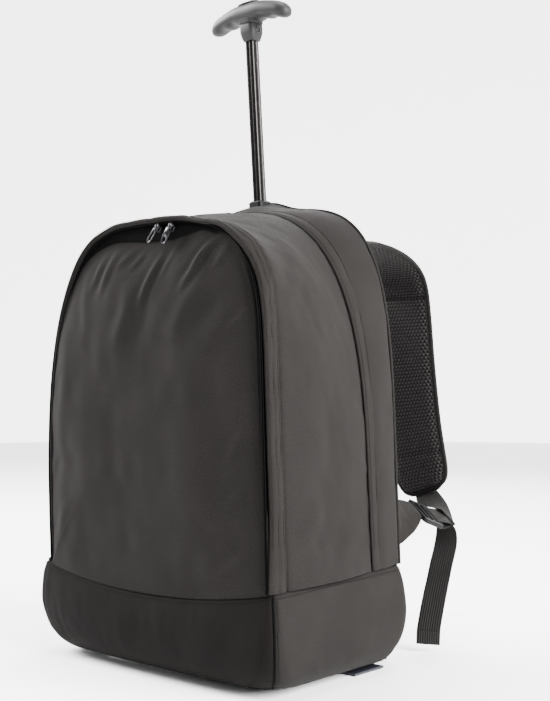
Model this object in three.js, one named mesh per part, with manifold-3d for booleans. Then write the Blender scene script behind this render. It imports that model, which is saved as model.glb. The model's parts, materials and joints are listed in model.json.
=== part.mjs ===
// Wheeled backpack: a closed cloth pack on a moulded base, with two wheels and a sliding pull handle.
// Millimetres. X runs across the pack, Y from its front to its back and Z up from the floor.
import * as THREE from 'three';
import { mergeVertices } from 'three/addons/utils/BufferGeometryUtils.js';
import Module from 'manifold-3d';

const wasm = await Module();
wasm.setup();

// Pack body
const BODY_WIDTH = 332;
const BODY_HEIGHT = 483;
const BODY_DEPTH = 200;
const FRONT_Y = -0.52 * BODY_DEPTH;
const HALF_WIDTH = BODY_WIDTH / 2;
const CLOTH = 2;
const BACK_PAD = 4;
const GAP = 0.3;
const GUSSET_BULGE = 4;

// Seam between the base band and the upper cloth
const SEAM_HEIGHT = 98;
const SEAM_SMILE = 16;
const SEAM_BACK_RISE = 6;

// Base band
const BASE_BULGE = 6;
const BASE_ROUND = 28;

// Front panel
const PANEL_DOME = 14;
const PANEL_RECESS = 4;
const FLAP_PROUD = 3;
const FLAP_FADE = 90;
const GATHER_HEIGHT = 2.4;

// Back panel
const BACK_DOME = 9;

// Zips
const ZIP_WIDTH = 7;
const ZIP_THICK = 1.6;
const ZIP_SHELTER = 0.7;
const ZIP_SINK = 1.8;
const FLAP_CLEAR = 0.5;

// Zip sliders and pullers
const PIN_RADIUS = 0.6;
const EYE_RADIUS = 0.9;
const BARREL_RADIUS = 1.6;
const BARREL_WIDTH = 2.6;
const EAR_THICK = 1.4;
const SLIDER_WIDTH = 7.2;
const SLIDER_LENGTH = 8;
const SLIDER_THICK = 2.4;
const PULLER_LENGTH = 18.5;
const PULLER_WIDTH = 5.6;
const PULLER_THICK = 1.3;
const PULLER_SLOT = 1.4;
const PULLER_NECK = 2.2;
const NECK_OVERLAP = 1.9;
const SLOT_CORNER = 1;
const EAR_REACH = 1.5;

// Moulded base, feet and wheels
const TRAY_PLATE = 3.8;
const TRAY_LIFT = 2.2;
const TRAY_WALL = 2.5;
const KICK_HEIGHT = 62;
const LIP_REACH = 16;
const LIP_LENGTH = 46;
const LIP_DROP = 0.8;
const LIP_THICK = 2.2;
const FOOT_RADIUS = 12;
const FOOT_INSET = 61;
const FOOT_SETBACK = 16;
const WHEEL_RADIUS = 28;
const WHEEL_WIDTH = 20;
const WHEEL_INSET = 42;
const WHEEL_PROUD = 3;
const HUB_RADIUS = 18;
const AXLE_RADIUS = 3;
const WHEEL_CLEAR = 3;

// Pull handle
const HANDLE_LEAN = Math.atan(0.0755);
const EXIT_SETBACK = 16.24;
const EXIT_SINK = 3;
const EXIT_Z = BODY_HEIGHT - EXIT_SINK;
const POLE_WIDTH = 11;
const POLE_DEPTH = 12;
const POLE_CORNER = 2.6;
const POLE_WALL = 1.2;
const POLE_SHOWN = 173;
const POLE_HIDDEN = 246;
const SLEEVE_WALL = 1.6;
const SLEEVE_CLEAR = 0.4;
const SLEEVE_TOP = -10;
const SLEEVE_FOOT = 62;
const COVER_WALL = 3.6;
const COVER_CORNER = 4;
const HOLE_REACH = 30;
const COVER_RISE = 3;
const COLLAR_HEIGHT = 17.5;
const COLLAR_WIDTH = 20;
const GRIP_LENGTH = 110;
const GRIP_RISE = 11;
const GRIP_DEPTH = 25;
const SKIRT_HEIGHT = 9;
const BUTTON_LENGTH = 26;
const BUTTON_WIDTH = 12;
const BUTTON_PROUD = 2.6;
const BUTTON_TRAVEL = 2.5;
const BUTTON_BODY = 3;
const SCREW_RADIUS = 2.7;
const SCREW_DEPTH = 1.4;

// Shoulder straps
const PAD_WIDTH = 66;
const PAD_THICK = 11;
const STRAP_REACH = 116;
const PAD_SEAT = 0.7;
const WEB_WIDTH = 25;
const WEB_THICK = 1.8;
const BUCKLE_WIDTH = 36;
const BUCKLE_LENGTH = 32;
const BUCKLE_THICK = 4.5;
const BUCKLE_BAR = 4.5;
const WING_ROOT = 58;
const WING_THICK = 3;
const TAIL_LENGTH = 132;

// Mesh steps
const SIDE_STEPS = 4;
const CURVE_STEPS = 11;
const SEAM_STEPS = 12;

// Arches round the pack, front to back: depth, width, shoulder and top are shares of the body's sizes,
// lean is the forward slope, squareness the corner's power, bow the crown's swell as a share of depth and
// peak the ridge over the handle as a share of height. The left side slumps: its own row overrides.
const ARCHES = {
  rim: {
    depth: 0, lean: 0.037, width: 0.982, shoulder: 0.61, top: 0.912, squareness: 3.5, bow: -0.01, peak: 0,
    left: { width: 0.905, shoulder: 0.25, squareness: 2.7 },
  },
  seam: {
    depth: 0.125, lean: 0.057, width: 1, shoulder: 0.631, top: 0.906, squareness: 4, bow: -0.01, peak: 0,
    left: { width: 0.935, shoulder: 0.26, squareness: 2.6 },
  },
  zip: {
    depth: 0.77, lean: 0.0757, width: 1, shoulder: 0.424, top: 0.957, squareness: 2.8, bow: 0, peak: 0,
    left: { width: 0.97, shoulder: 0.38, squareness: 2.5 },
  },
  back: {
    depth: 1, lean: 0.062, width: 0.975, shoulder: 0.455, top: 0.975, squareness: 3.6, bow: 0.045, peak: 0.023,
    left: { width: 0.97, shoulder: 0.44, squareness: 3.3 },
  },
};
const PEAK_SPREAD = 28;

// Base band from its seam down to the floor: height is a share of the seam's height, spread of the bulge,
// tuck and corner of the rounding.
const BASE_ROWS = [
  { height: 1, spread: 0, tuck: 0, corner: 0.35 },
  { height: 0.8, spread: 0.65, tuck: 0, corner: 0.4 },
  { height: 0.52, spread: 1, tuck: 0, corner: 0.55 },
  { height: 0.26, spread: 0.7, tuck: 0.06, corner: 0.85 },
  { height: 0.11, spread: 0, tuck: 0.28, corner: 1.1 },
  { height: 0.036, spread: 0, tuck: 0.8, corner: 1.3 },
];

// Creases of the front panel: across and up are shares of the half width and body height, length and
// width shares of the body width, turn the angle from upright in degrees, height a share of the gathers.
const CREASES = [
  { across: -0.62, up: 0.74, length: 0.16, width: 0.05, turn: 34, height: 1 },
  { across: -0.3, up: 0.78, length: 0.18, width: 0.045, turn: 16, height: 1.1 },
  { across: 0.02, up: 0.8, length: 0.14, width: 0.045, turn: 4, height: 1 },
  { across: 0.42, up: 0.78, length: 0.2, width: 0.05, turn: -24, height: 1.3 },
  { across: 0.66, up: 0.72, length: 0.18, width: 0.045, turn: -36, height: 1.2 },
  { across: -0.82, up: 0.42, length: 0.4, width: 0.05, turn: 3, height: 0.9 },
  { across: 0.8, up: 0.36, length: 0.3, width: 0.06, turn: -6, height: 1 },
  { across: 0.84, up: 0.26, length: 0.12, width: 0.05, turn: 50, height: -1 },
];

// Grip from its middle to a tip: reach is a share of the half length, drop, over and under of the rise
// and depth of the grip's depth.
const GRIP_ROWS = [
  { reach: 0, drop: 0, over: 1, under: 1, depth: 1 },
  { reach: 0.2, drop: 0, over: 0.99, under: 0.95, depth: 0.98 },
  { reach: 0.36, drop: 0.05, over: 0.94, under: 0.68, depth: 0.9 },
  { reach: 0.5, drop: 0.16, over: 0.92, under: 0.8, depth: 0.88 },
  { reach: 0.66, drop: 0.32, over: 0.88, under: 0.68, depth: 0.86 },
  { reach: 0.82, drop: 0.5, over: 0.82, under: 0.8, depth: 0.84 },
  { reach: 0.93, drop: 0.66, over: 0.62, under: 0.62, depth: 0.64 },
  { reach: 0.985, drop: 0.74, over: 0.3, under: 0.3, depth: 0.34 },
];

// Strap pad from the top of the back down to its rounded end: reach is a share of the strap's reach behind
// the back, height of the body's height, across of its half width and width of the pad's width.
const PAD_ROWS = [
  { reach: 0.0, height: 0.884, across: 0.55, width: 1 },
  { reach: 0.28, height: 0.888, across: 0.55, width: 1 },
  { reach: 0.6, height: 0.874, across: 0.55, width: 1 },
  { reach: 0.82, height: 0.848, across: 0.55, width: 1 },
  { reach: 0.94, height: 0.81, across: 0.548, width: 1 },
  { reach: 1.0, height: 0.74, across: 0.548, width: 1 },
  { reach: 1.03, height: 0.66, across: 0.555, width: 1 },
  { reach: 1.05, height: 0.58, across: 0.57, width: 1 },
  { reach: 1.06, height: 0.5, across: 0.595, width: 1 },
  { reach: 1.06, height: 0.43, across: 0.63, width: 1 },
  { reach: 1.055, height: 0.385, across: 0.66, width: 0.97 },
  { reach: 1.05, height: 0.362, across: 0.675, width: 0.84 },
  { reach: 1.048, height: 0.35, across: 0.685, width: 0.6 },
];

// Half outline of a pad's section: across is a share of the half width, thick of the half thickness.
const PAD_SECTION = [
  { across: 1, thick: 0.3 },
  { across: 0.86, thick: 0.55 },
  { across: 0.7, thick: 1 },
  { across: 0, thick: 1 },
  { across: -0.7, thick: 1 },
  { across: -0.86, thick: 0.55 },
  { across: -1, thick: 0.3 },
];

// Free webbing end from its fold down: drop, back and out are shares of its length.
const TAIL_ROWS = [
  { drop: 0.12, back: 0.023, out: 0 },
  { drop: 0.35, back: -0.03, out: -0.023 },
  { drop: 0.6, back: -0.091, out: -0.045 },
  { drop: 0.82, back: -0.136, out: -0.061 },
  { drop: 0.94, back: -0.136, out: -0.068 },
];

// Front sliders: across is a share of the half width, swing the sideways hang of the puller in degrees.
const FRONT_SLIDERS = [
  { side: 'left', across: 0.235, swing: 44 },
  { side: 'right', across: 0.345, swing: 36 },
];
const MAIN_SLIDER_ACROSS = -0.03;
const MAIN_PULLER_DROOP = 11;
const SLIDER_INSET = 9;

const CENTRE = new THREE.Vector3(0, 0, 0.5 * BODY_HEIGHT);

function finish(name, colour, roughness, metalness) {
  return new THREE.MeshStandardMaterial({ name, color: colour, roughness, metalness });
}

const LOOKS = {
  weave: finish('weave', 0x4f4c4a, 0.9, 0),
  baseWeave: finish('base_weave', 0x2e2a29, 0.75, 0),
  mesh: finish('mesh', 0x1a1a1b, 0.95, 0),
  webbing: finish('webbing', 0x222121, 0.85, 0),
  zipTape: finish('zip_tape', 0x0f0f10, 0.7, 0),
  nickel: finish('black_nickel', 0x3c3c40, 0.25, 1),
  pole: finish('pole', 0x1b1a1b, 0.25, 0.8),
  gripGrey: finish('grip_grey', 0x68686b, 0.55, 0),
  blackPlastic: finish('black_plastic', 0x151516, 0.5, 0),
  rubber: finish('rubber', 0x101010, 0.9, 0),
  steel: finish('steel', 0x9a9a9c, 0.35, 1),
};

function node(name, geometry, look) {
  const mesh = new THREE.Mesh(geometry, look);
  mesh.name = name;
  return mesh;
}

function lerp(a, b, share) {
  return a + (b - a) * share;
}

function signedVolume(points, faces) {
  let volume = 0;
  for (const [a, b, c] of faces) {
    volume += points[a].dot(new THREE.Vector3().crossVectors(points[b], points[c]));
  }
  return volume / 6;
}

function solid(points, faces) {
  const turned = signedVolume(points, faces) < 0;
  const index = faces.flatMap(([a, b, c]) => (turned ? [a, c, b] : [a, b, c]));
  const geometry = new THREE.BufferGeometry();
  geometry.setAttribute('position', new THREE.Float32BufferAttribute(points.flatMap((p) => p.toArray()), 3));
  geometry.setIndex(index);
  geometry.computeVertexNormals();
  return geometry;
}

function pointNormals(points, faces) {
  const normals = points.map(() => new THREE.Vector3());
  for (const [a, b, c] of faces) {
    const ab = points[b].clone().sub(points[a]);
    const ac = points[c].clone().sub(points[a]);
    const face = ab.cross(ac);
    for (const i of [a, b, c]) normals[i].add(face);
  }
  return normals.map((n) => n.normalize());
}

function openEdges(faces) {
  const edges = new Map();
  for (const [a, b, c] of faces) {
    for (const [from, to] of [[a, b], [b, c], [c, a]]) {
      if (!edges.delete(`${to}_${from}`)) edges.set(`${from}_${to}`, [from, to]);
    }
  }
  return [...edges.values()];
}

function outwardFaces(points, faces) {
  const normals = pointNormals(points, faces);
  let facing = 0;
  points.forEach((p, i) => {
    facing += normals[i].dot(p.clone().sub(CENTRE).normalize());
  });
  return facing < 0 ? faces.map(([a, b, c]) => [a, c, b]) : faces;
}

// A sheet of cloth or plastic: the outer surface, its copy one wall further in and the rim between them.
function thicken(points, faces, wall, normals = null) {
  const outer = outwardFaces(points, faces);
  const along = normals || pointNormals(points, outer);
  const inner = points.map((p, i) => p.clone().addScaledVector(along[i], -wall));
  const count = points.length;
  const back = outer.map(([a, b, c]) => [a + count, c + count, b + count]);
  const rim = openEdges(outer).flatMap(([a, b]) => [[b, a, a + count], [b, a + count, b + count]]);
  return solid([...points, ...inner], [...outer, ...back, ...rim]);
}

function gridFaces(rows, columns) {
  const faces = [];
  for (let r = 0; r < rows - 1; r += 1) {
    for (let c = 0; c < columns - 1; c += 1) {
      const a = r * columns + c;
      const d = a + columns;
      faces.push([a, a + 1, d + 1], [a, d + 1, d]);
    }
  }
  return faces;
}

function sheet({ grid, normals }, wall) {
  return thicken(grid.flat(), gridFaces(grid.length, grid[0].length), wall, normals.flat());
}

// A solid through closed rings of points, with a flat cap at each end.
function loft(rings) {
  const size = rings[0].length;
  const points = rings.flat();
  const faces = [];
  for (let r = 0; r < rings.length - 1; r += 1) {
    for (let c = 0; c < size; c += 1) {
      const a = r * size + c;
      const b = r * size + ((c + 1) % size);
      faces.push([a, b, b + size], [a, b + size, a + size]);
    }
  }
  const last = (rings.length - 1) * size;
  for (let c = 1; c < size - 1; c += 1) {
    faces.push([0, c + 1, c], [last, last + c, last + c + 1]);
  }
  return solid(points, faces);
}

function mirrored(geometry) {
  const copy = geometry.clone();
  const place = copy.getAttribute('position');
  for (let i = 0; i < place.count; i += 1) place.setX(i, -place.getX(i));
  const index = copy.getIndex().array;
  for (let i = 0; i < index.length; i += 3) [index[i + 1], index[i + 2]] = [index[i + 2], index[i + 1]];
  copy.computeVertexNormals();
  return copy;
}

function toManifold(geometry) {
  const bare = geometry.clone();
  bare.deleteAttribute('normal');
  bare.deleteAttribute('uv');
  const merged = mergeVertices(bare, 1e-4);
  const vertProperties = new Float32Array(merged.getAttribute('position').array);
  const triVerts = new Uint32Array(merged.getIndex().array);
  return new wasm.Manifold(new wasm.Mesh({ numProp: 3, vertProperties, triVerts }));
}

function fromManifold(body) {
  const { vertProperties, triVerts } = body.getMesh();
  const geometry = new THREE.BufferGeometry();
  geometry.setAttribute('position', new THREE.BufferAttribute(vertProperties, 3));
  geometry.setIndex(new THREE.BufferAttribute(triVerts, 1));
  geometry.computeVertexNormals();
  return geometry;
}

function joined(first, ...others) {
  return fromManifold(others.reduce((body, next) => body.add(toManifold(next)), toManifold(first)));
}

function cut(first, ...others) {
  return fromManifold(others.reduce((body, next) => body.subtract(toManifold(next)), toManifold(first)));
}

function block(x0, x1, y0, y1, z0, z1) {
  const geometry = new THREE.BoxGeometry(x1 - x0, y1 - y0, z1 - z0);
  return geometry.translate((x0 + x1) / 2, (y0 + y1) / 2, (z0 + z1) / 2);
}

function rodAcross(radius, length, sides) {
  return new THREE.CylinderGeometry(radius, radius, length, sides).rotateZ(Math.PI / 2);
}

function roundedPoints(width, depth, radius, steps = 3) {
  const x = width / 2 - radius;
  const y = depth / 2 - radius;
  const points = [];
  [[x, -y], [x, y], [-x, y], [-x, -y]].forEach(([cx, cy], corner) => {
    for (let i = 0; i <= steps; i += 1) {
      const angle = (corner - 1 + i / steps) * 0.5 * Math.PI;
      points.push(new THREE.Vector2(cx + radius * Math.cos(angle), cy + radius * Math.sin(angle)));
    }
  });
  return points;
}

function roundedShape(width, depth, radius) {
  return new THREE.Shape(roundedPoints(width, depth, radius));
}

function prism(shape, height) {
  return new THREE.ExtrudeGeometry(shape, { depth: height, bevelEnabled: false, steps: 1 });
}

function ringAt(width, depth, radius, z) {
  return roundedPoints(width, depth, radius, 2).map((p) => new THREE.Vector3(p.x, p.y, z));
}

// The pack's arches
function sideSeamHeight(y) {
  return SEAM_HEIGHT + (SEAM_BACK_RISE * (y - FRONT_Y)) / BODY_DEPTH;
}

function frontSeamHeight(x) {
  const share = Math.min(1, Math.abs(x) / HALF_WIDTH);
  return SEAM_HEIGHT - SEAM_SMILE * (1 - share ** 2);
}

function archY(arch, x, z) {
  const swell = arch.bow * BODY_DEPTH * (1 - (x / HALF_WIDTH) ** 2);
  return FRONT_Y + arch.depth * BODY_DEPTH - arch.lean * z + swell;
}

// The pole leaves the bag a set distance in front of the back's own surface.
const EXIT_Y = archY(ARCHES.back, 0, EXIT_Z) - EXIT_SETBACK;

function archRim(arch, angle) {
  const power = 2 / arch.squareness;
  const shoulder = arch.shoulder * BODY_HEIGHT;
  const rise = arch.top * BODY_HEIGHT - shoulder;
  const x = arch.width * HALF_WIDTH * Math.cos(angle) ** power;
  const ridge = arch.peak * BODY_HEIGHT * Math.exp(-((x / PEAK_SPREAD) ** 2));
  return new THREE.Vector2(x, shoulder + rise * Math.sin(angle) ** power + ridge);
}

function spacedAlong(points, steps) {
  const lengths = [0];
  for (let i = 1; i < points.length; i += 1) {
    lengths.push(lengths[i - 1] + points[i].distanceTo(points[i - 1]));
  }
  const total = lengths[lengths.length - 1];
  const spaced = [points[0].clone()];
  let i = 1;
  for (let s = 1; s < steps; s += 1) {
    const want = (total * s) / steps;
    while (lengths[i] < want) i += 1;
    spaced.push(points[i - 1].clone().lerp(points[i], (want - lengths[i - 1]) / (lengths[i] - lengths[i - 1])));
  }
  spaced.push(points[points.length - 1].clone());
  return spaced;
}

// One half of an arch, from the base seam to the crown, moved inwards by the inset.
function halfArch(arch, inset) {
  const low = sideSeamHeight(archY(arch, arch.width * HALF_WIDTH, SEAM_HEIGHT)) + GAP;
  const shoulder = arch.shoulder * BODY_HEIGHT;
  const half = arch.width * HALF_WIDTH;
  const side = [];
  for (let s = 0; s < SIDE_STEPS; s += 1) side.push(new THREE.Vector2(half, lerp(low, shoulder, s / SIDE_STEPS)));
  const dense = 96;
  const curve = [];
  for (let i = 0; i <= dense; i += 1) curve.push(archRim(arch, Math.min(0.5, (0.5 * i) / dense) * Math.PI));
  curve[dense].x = 0;
  const points = [...side, ...spacedAlong(curve, CURVE_STEPS)];
  return points.map((p, i) => {
    const before = points[Math.max(0, i - 1)];
    const after = points[Math.min(points.length - 1, i + 1)];
    const last = i === points.length - 1;
    const run = last ? new THREE.Vector2(-1, 0) : after.clone().sub(before).normalize();
    return new THREE.Vector2(p.x - run.y * inset, p.y + run.x * inset);
  });
}

function archLine(arch, inset = 0, slide = 0) {
  const right = halfArch(arch, inset);
  const left = halfArch({ ...arch, ...arch.left }, inset).slice(0, -1).map((p) => new THREE.Vector2(-p.x, p.y));
  const line = [...left, ...right.reverse()];
  return line.map((p) => new THREE.Vector3(p.x, archY(arch, p.x, p.y) + slide, p.y));
}

function outwardAcross(line) {
  return line.map((p, i) => {
    const before = line[Math.max(0, i - 1)];
    const after = line[Math.min(line.length - 1, i + 1)];
    return new THREE.Vector3(before.z - after.z, 0, after.x - before.x).normalize();
  });
}

function archAt(arch, inset, x) {
  const line = archLine(arch, inset).filter((p) => p.z > 0.6 * arch.top * BODY_HEIGHT);
  const i = line.findIndex((p, k) => k > 0 && p.x >= x);
  const share = (x - line[i - 1].x) / (line[i].x - line[i - 1].x);
  return line[i - 1].clone().lerp(line[i], share);
}

// Cloth wall between two arches, swelling outwards between its seams.
function gusset(front, rear, rows, bulge) {
  const frontAway = outwardAcross(front);
  const rearAway = outwardAcross(rear);
  const grid = [];
  const normals = [];
  for (let r = 0; r < rows; r += 1) {
    const share = r / (rows - 1);
    const swell = bulge * Math.sin(Math.PI * share);
    const away = frontAway.map((n, i) => n.clone().lerp(rearAway[i], share).normalize());
    normals.push(away);
    grid.push(front.map((p, i) => p.clone().lerp(rear[i], share).addScaledVector(away[i], swell)));
  }
  return { grid, normals };
}

function zipBand(arch, inset, slide) {
  const outer = archLine(arch, inset, slide);
  const inner = archLine(arch, inset + ZIP_THICK, slide);
  const step = new THREE.Vector3(0, ZIP_WIDTH, 0);
  return loft(outer.map((p, i) => [p, p.clone().add(step), inner[i].clone().add(step), inner[i]]));
}

// Front panel, flap and base
function creaseHeight(x, z) {
  let height = 0;
  for (const crease of CREASES) {
    const turn = THREE.MathUtils.degToRad(crease.turn);
    const dx = x - crease.across * HALF_WIDTH;
    const dz = z - crease.up * BODY_HEIGHT;
    const along = (dz * Math.cos(turn) - dx * Math.sin(turn)) / (crease.length * BODY_WIDTH);
    const across = (dx * Math.cos(turn) + dz * Math.sin(turn)) / (crease.width * BODY_WIDTH);
    height += crease.height * GATHER_HEIGHT * Math.exp(-(along ** 2) - across ** 2);
  }
  return height;
}

function seamDome(x) {
  return 0.5 * PANEL_DOME * (1 - Math.min(1, Math.abs(x) / HALF_WIDTH) ** 4);
}

function frontPlaneY(z) {
  return FRONT_Y + PANEL_RECESS - ARCHES.rim.lean * z;
}

const PANEL_RINGS = [0.28, 0.52, 0.7, 0.84, 0.94, 1];

function frontPanel() {
  const inset = CLOTH + ZIP_THICK + FLAP_CLEAR + 2 * GAP;
  const arch = archLine(ARCHES.rim, inset);
  const boundary = arch.map((p) => ({ x: p.x, z: p.z, dome: 0 }));
  for (let s = 1; s < SEAM_STEPS; s += 1) {
    const x = lerp(arch[arch.length - 1].x, arch[0].x, s / SEAM_STEPS);
    boundary.push({ x, z: frontSeamHeight(x) + 3 * GAP, dome: seamDome(x) });
  }
  const middle = 0.5 * (SEAM_HEIGHT + ARCHES.rim.top * BODY_HEIGHT);
  const points = [new THREE.Vector3(0, frontPlaneY(middle) - PANEL_DOME, middle)];
  for (const ring of PANEL_RINGS) {
    for (const edge of boundary) {
      const x = edge.x * ring;
      const z = lerp(middle, edge.z, ring);
      const dome = lerp(PANEL_DOME, edge.dome, ring ** 4);
      const crease = creaseHeight(x, z) * (1 - ring ** 8);
      points.push(new THREE.Vector3(x, frontPlaneY(z) - dome - crease, z));
    }
  }
  return thicken(points, ringFaces(boundary.length, PANEL_RINGS.length), CLOTH);
}

function ringFaces(count, rings) {
  const faces = [];
  for (let i = 0; i < count; i += 1) faces.push([0, 1 + i, 1 + ((i + 1) % count)]);
  for (let r = 0; r < rings - 1; r += 1) {
    for (let i = 0; i < count; i += 1) {
      const a = 1 + r * count + i;
      const b = 1 + r * count + ((i + 1) % count);
      faces.push([a, a + count, b + count], [a, b + count, b]);
    }
  }
  return faces;
}

function backPanel() {
  const arch = archLine(ARCHES.back, CLOTH + 3 * GAP);
  const low = KICK_HEIGHT + 2;
  const sideEnd = BASE_REAR_X - 3 * GAP;
  const seamTop = sideSeamHeight(archY(ARCHES.back, sideEnd, SEAM_HEIGHT)) + GAP;
  const boundary = arch.map((p) => ({ x: p.x, z: p.z, dome: 0 }));
  boundary.push({ x: sideEnd, z: seamTop, dome: 0 });
  for (const share of [1, 0.6, 0.2, -0.2, -0.6, -1]) {
    boundary.push({ x: share * sideEnd, z: low, dome: BACK_DOME * (1 - share ** 4) });
  }
  boundary.push({ x: -sideEnd, z: seamTop, dome: 0 });
  const middle = 0.55 * BODY_HEIGHT;
  const at = (x, z, dome) => new THREE.Vector3(x, archY(ARCHES.back, x, z) + dome, z);
  const points = [at(0, middle, BACK_DOME)];
  for (const ring of PANEL_RINGS) {
    for (const edge of boundary) {
      const dome = lerp(BACK_DOME, edge.dome, ring ** 4);
      points.push(at(edge.x * ring, lerp(middle, edge.z, ring), dome));
    }
  }
  return thicken(points, ringFaces(boundary.length, PANEL_RINGS.length), BACK_PAD);
}

const BASE_REAR_X = HALF_WIDTH - BASE_ROUND + 0.5;

// One row of the base band, from the rear of the left side round the front to the rear of the right side.
function basePath(row) {
  const out = row.spread * BASE_BULGE - row.tuck * BASE_ROUND;
  const radius = row.corner * BASE_ROUND;
  const half = HALF_WIDTH + out;
  const rearRadius = Math.min(radius, half - BASE_REAR_X - 2);
  const front = (x) => {
    const z = row.height * frontSeamHeight(x);
    return frontPlaneY(z) - seamDome(x) * (1 - row.tuck) - out;
  };
  const rearSeam = sideSeamHeight(FRONT_Y + BODY_DEPTH);
  const rearY = FRONT_Y + BODY_DEPTH - ARCHES.back.lean * row.height * rearSeam + out;
  const cornerFrontY = front(half);
  const path = [new THREE.Vector3(BASE_REAR_X, rearY, row.height * rearSeam)];
  for (const turn of [0, 0.5, 1]) {
    const angle = (1 - turn) * 0.5 * Math.PI;
    const x = half - rearRadius * (1 - Math.cos(angle));
    const y = rearY - rearRadius * (1 - Math.sin(angle));
    path.push(new THREE.Vector3(x, y, row.height * sideSeamHeight(y)));
  }
  for (const share of [0.75, 0.5, 0.25]) {
    const y = lerp(cornerFrontY + radius, rearY - rearRadius, share);
    path.push(new THREE.Vector3(half, y, row.height * sideSeamHeight(y)));
  }
  for (const turn of [0, 0.5, 1]) {
    const angle = turn * 0.5 * Math.PI;
    const x = half - radius * (1 - Math.cos(angle));
    const y = cornerFrontY + radius * (1 - Math.sin(angle));
    path.push(new THREE.Vector3(x, y, row.height * sideSeamHeight(y)));
  }
  const inner = half - radius;
  for (const share of [0.8, 0.6, 0.4, 0.2, 0]) {
    const x = share * inner;
    path.push(new THREE.Vector3(x, front(x), row.height * frontSeamHeight(x)));
  }
  const left = path.slice(0, -1).map((p) => new THREE.Vector3(-p.x, p.y, p.z));
  return [...left, ...path.reverse()];
}

const CORNER_STEPS = 8;

function basePanels() {
  const grid = BASE_ROWS.map((row) => basePath(row));
  const columns = grid[0].length;
  const faces = outwardFaces(grid.flat(), gridFaces(grid.length, columns));
  const normals = pointNormals(grid.flat(), faces);
  const part = (from, to) => {
    const points = [];
    const along = [];
    grid.forEach((row, r) => {
      for (let c = from; c <= to; c += 1) {
        const next = c === to ? c - 1 : c + 1;
        const seam = (c === from && from > 0) || (c === to && to < columns - 1);
        const step = row[next].clone().sub(row[c]).setLength(seam ? GAP / 2 : 0);
        const drop = r === 0 ? -GAP / 2 : 0;
        points.push(row[c].clone().add(step).setZ(row[c].z + drop));
        along.push(normals[r * columns + c]);
      }
    });
    return thicken(points, gridFaces(grid.length, to - from + 1), CLOTH, along);
  };
  const last = columns - 1;
  return {
    left: part(0, CORNER_STEPS),
    front: part(CORNER_STEPS, last - CORNER_STEPS),
    right: part(last - CORNER_STEPS, last),
  };
}

// Moulded base
const TRAY_INSET = 0.8 * BASE_ROUND + CLOTH + 2 * GAP;
const TRAY_HALF = BASE_REAR_X - 2 * GAP;
const TRAY_FRONT = FRONT_Y + PANEL_RECESS + TRAY_INSET;
const FOOT_SPREAD = HALF_WIDTH - FOOT_INSET;
const WHEEL_SPREAD = HALF_WIDTH - WHEEL_INSET;
const KICK_Y = FRONT_Y + BODY_DEPTH + BASE_BULGE;
const WHEEL_Y = KICK_Y + WHEEL_PROUD - WHEEL_RADIUS;
const WELL_HALF = WHEEL_WIDTH / 2 + GAP + 0.7;
const SOCKET_HALF = 14;

function baseTray() {
  const depth = KICK_Y - TRAY_FRONT;
  const plate = prism(roundedShape(2 * TRAY_HALF, depth, 1.3 * BASE_ROUND), TRAY_PLATE);
  plate.translate(0, TRAY_FRONT + depth / 2, TRAY_LIFT);
  const kick = block(-TRAY_HALF, TRAY_HALF, KICK_Y - TRAY_WALL, KICK_Y, TRAY_LIFT, KICK_HEIGHT);
  const sleeveY = EXIT_Y + Math.tan(HANDLE_LEAN) * (EXIT_Z - SLEEVE_FOOT);
  const socket = block(
    -SOCKET_HALF, SOCKET_HALF, sleeveY - SOCKET_HALF, KICK_Y - TRAY_WALL / 2, TRAY_LIFT + 1, SLEEVE_FOOT - 1);
  const pieces = [kick, socket];
  const wells = [];
  for (const side of [-1, 1]) {
    const x = side * WHEEL_SPREAD;
    const wide = WELL_HALF + TRAY_WALL;
    const top = 2 * WHEEL_RADIUS + WHEEL_CLEAR;
    const front = WHEEL_Y - WHEEL_RADIUS - WHEEL_CLEAR;
    pieces.push(block(x - wide, x + wide, front - TRAY_WALL, KICK_Y, TRAY_LIFT, top + TRAY_WALL));
    wells.push(block(x - WELL_HALF, x + WELL_HALF, front, KICK_Y + 1, TRAY_LIFT - 1, top));
    wells.push(rodAcross(AXLE_RADIUS + GAP, 2 * wide + 2, 16).translate(x, WHEEL_Y, WHEEL_RADIUS));
    const from = side * (TRAY_HALF - TRAY_WALL);
    const to = side * (TRAY_HALF + LIP_REACH);
    const lipY = WHEEL_Y - WHEEL_RADIUS - 0.45 * LIP_LENGTH;
    pieces.push(block(
      Math.min(from, to), Math.max(from, to), lipY, lipY + LIP_LENGTH, LIP_DROP, LIP_DROP + LIP_THICK));
  }
  return cut(joined(plate, ...pieces), ...wells);
}

function ringAcross(inner, outer, width, sides) {
  const w = width / 2;
  const profile = [[inner, -w], [outer, -w], [outer, w], [inner, w], [inner, -w]];
  return new THREE.LatheGeometry(profile.map(([r, y]) => new THREE.Vector2(r, y)), sides).rotateZ(Math.PI / 2);
}

function tyre() {
  const w = WHEEL_WIDTH / 2;
  const edge = 0.16 * WHEEL_WIDTH;
  const inner = HUB_RADIUS + GAP;
  const outer = WHEEL_RADIUS;
  const profile = [
    [inner, -w], [outer - edge, -w], [outer, -w + edge], [outer, w - edge], [outer - edge, w], [inner, w], [inner, -w],
  ];
  return new THREE.LatheGeometry(profile.map(([r, y]) => new THREE.Vector2(r, y)), 24).rotateZ(Math.PI / 2);
}

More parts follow.
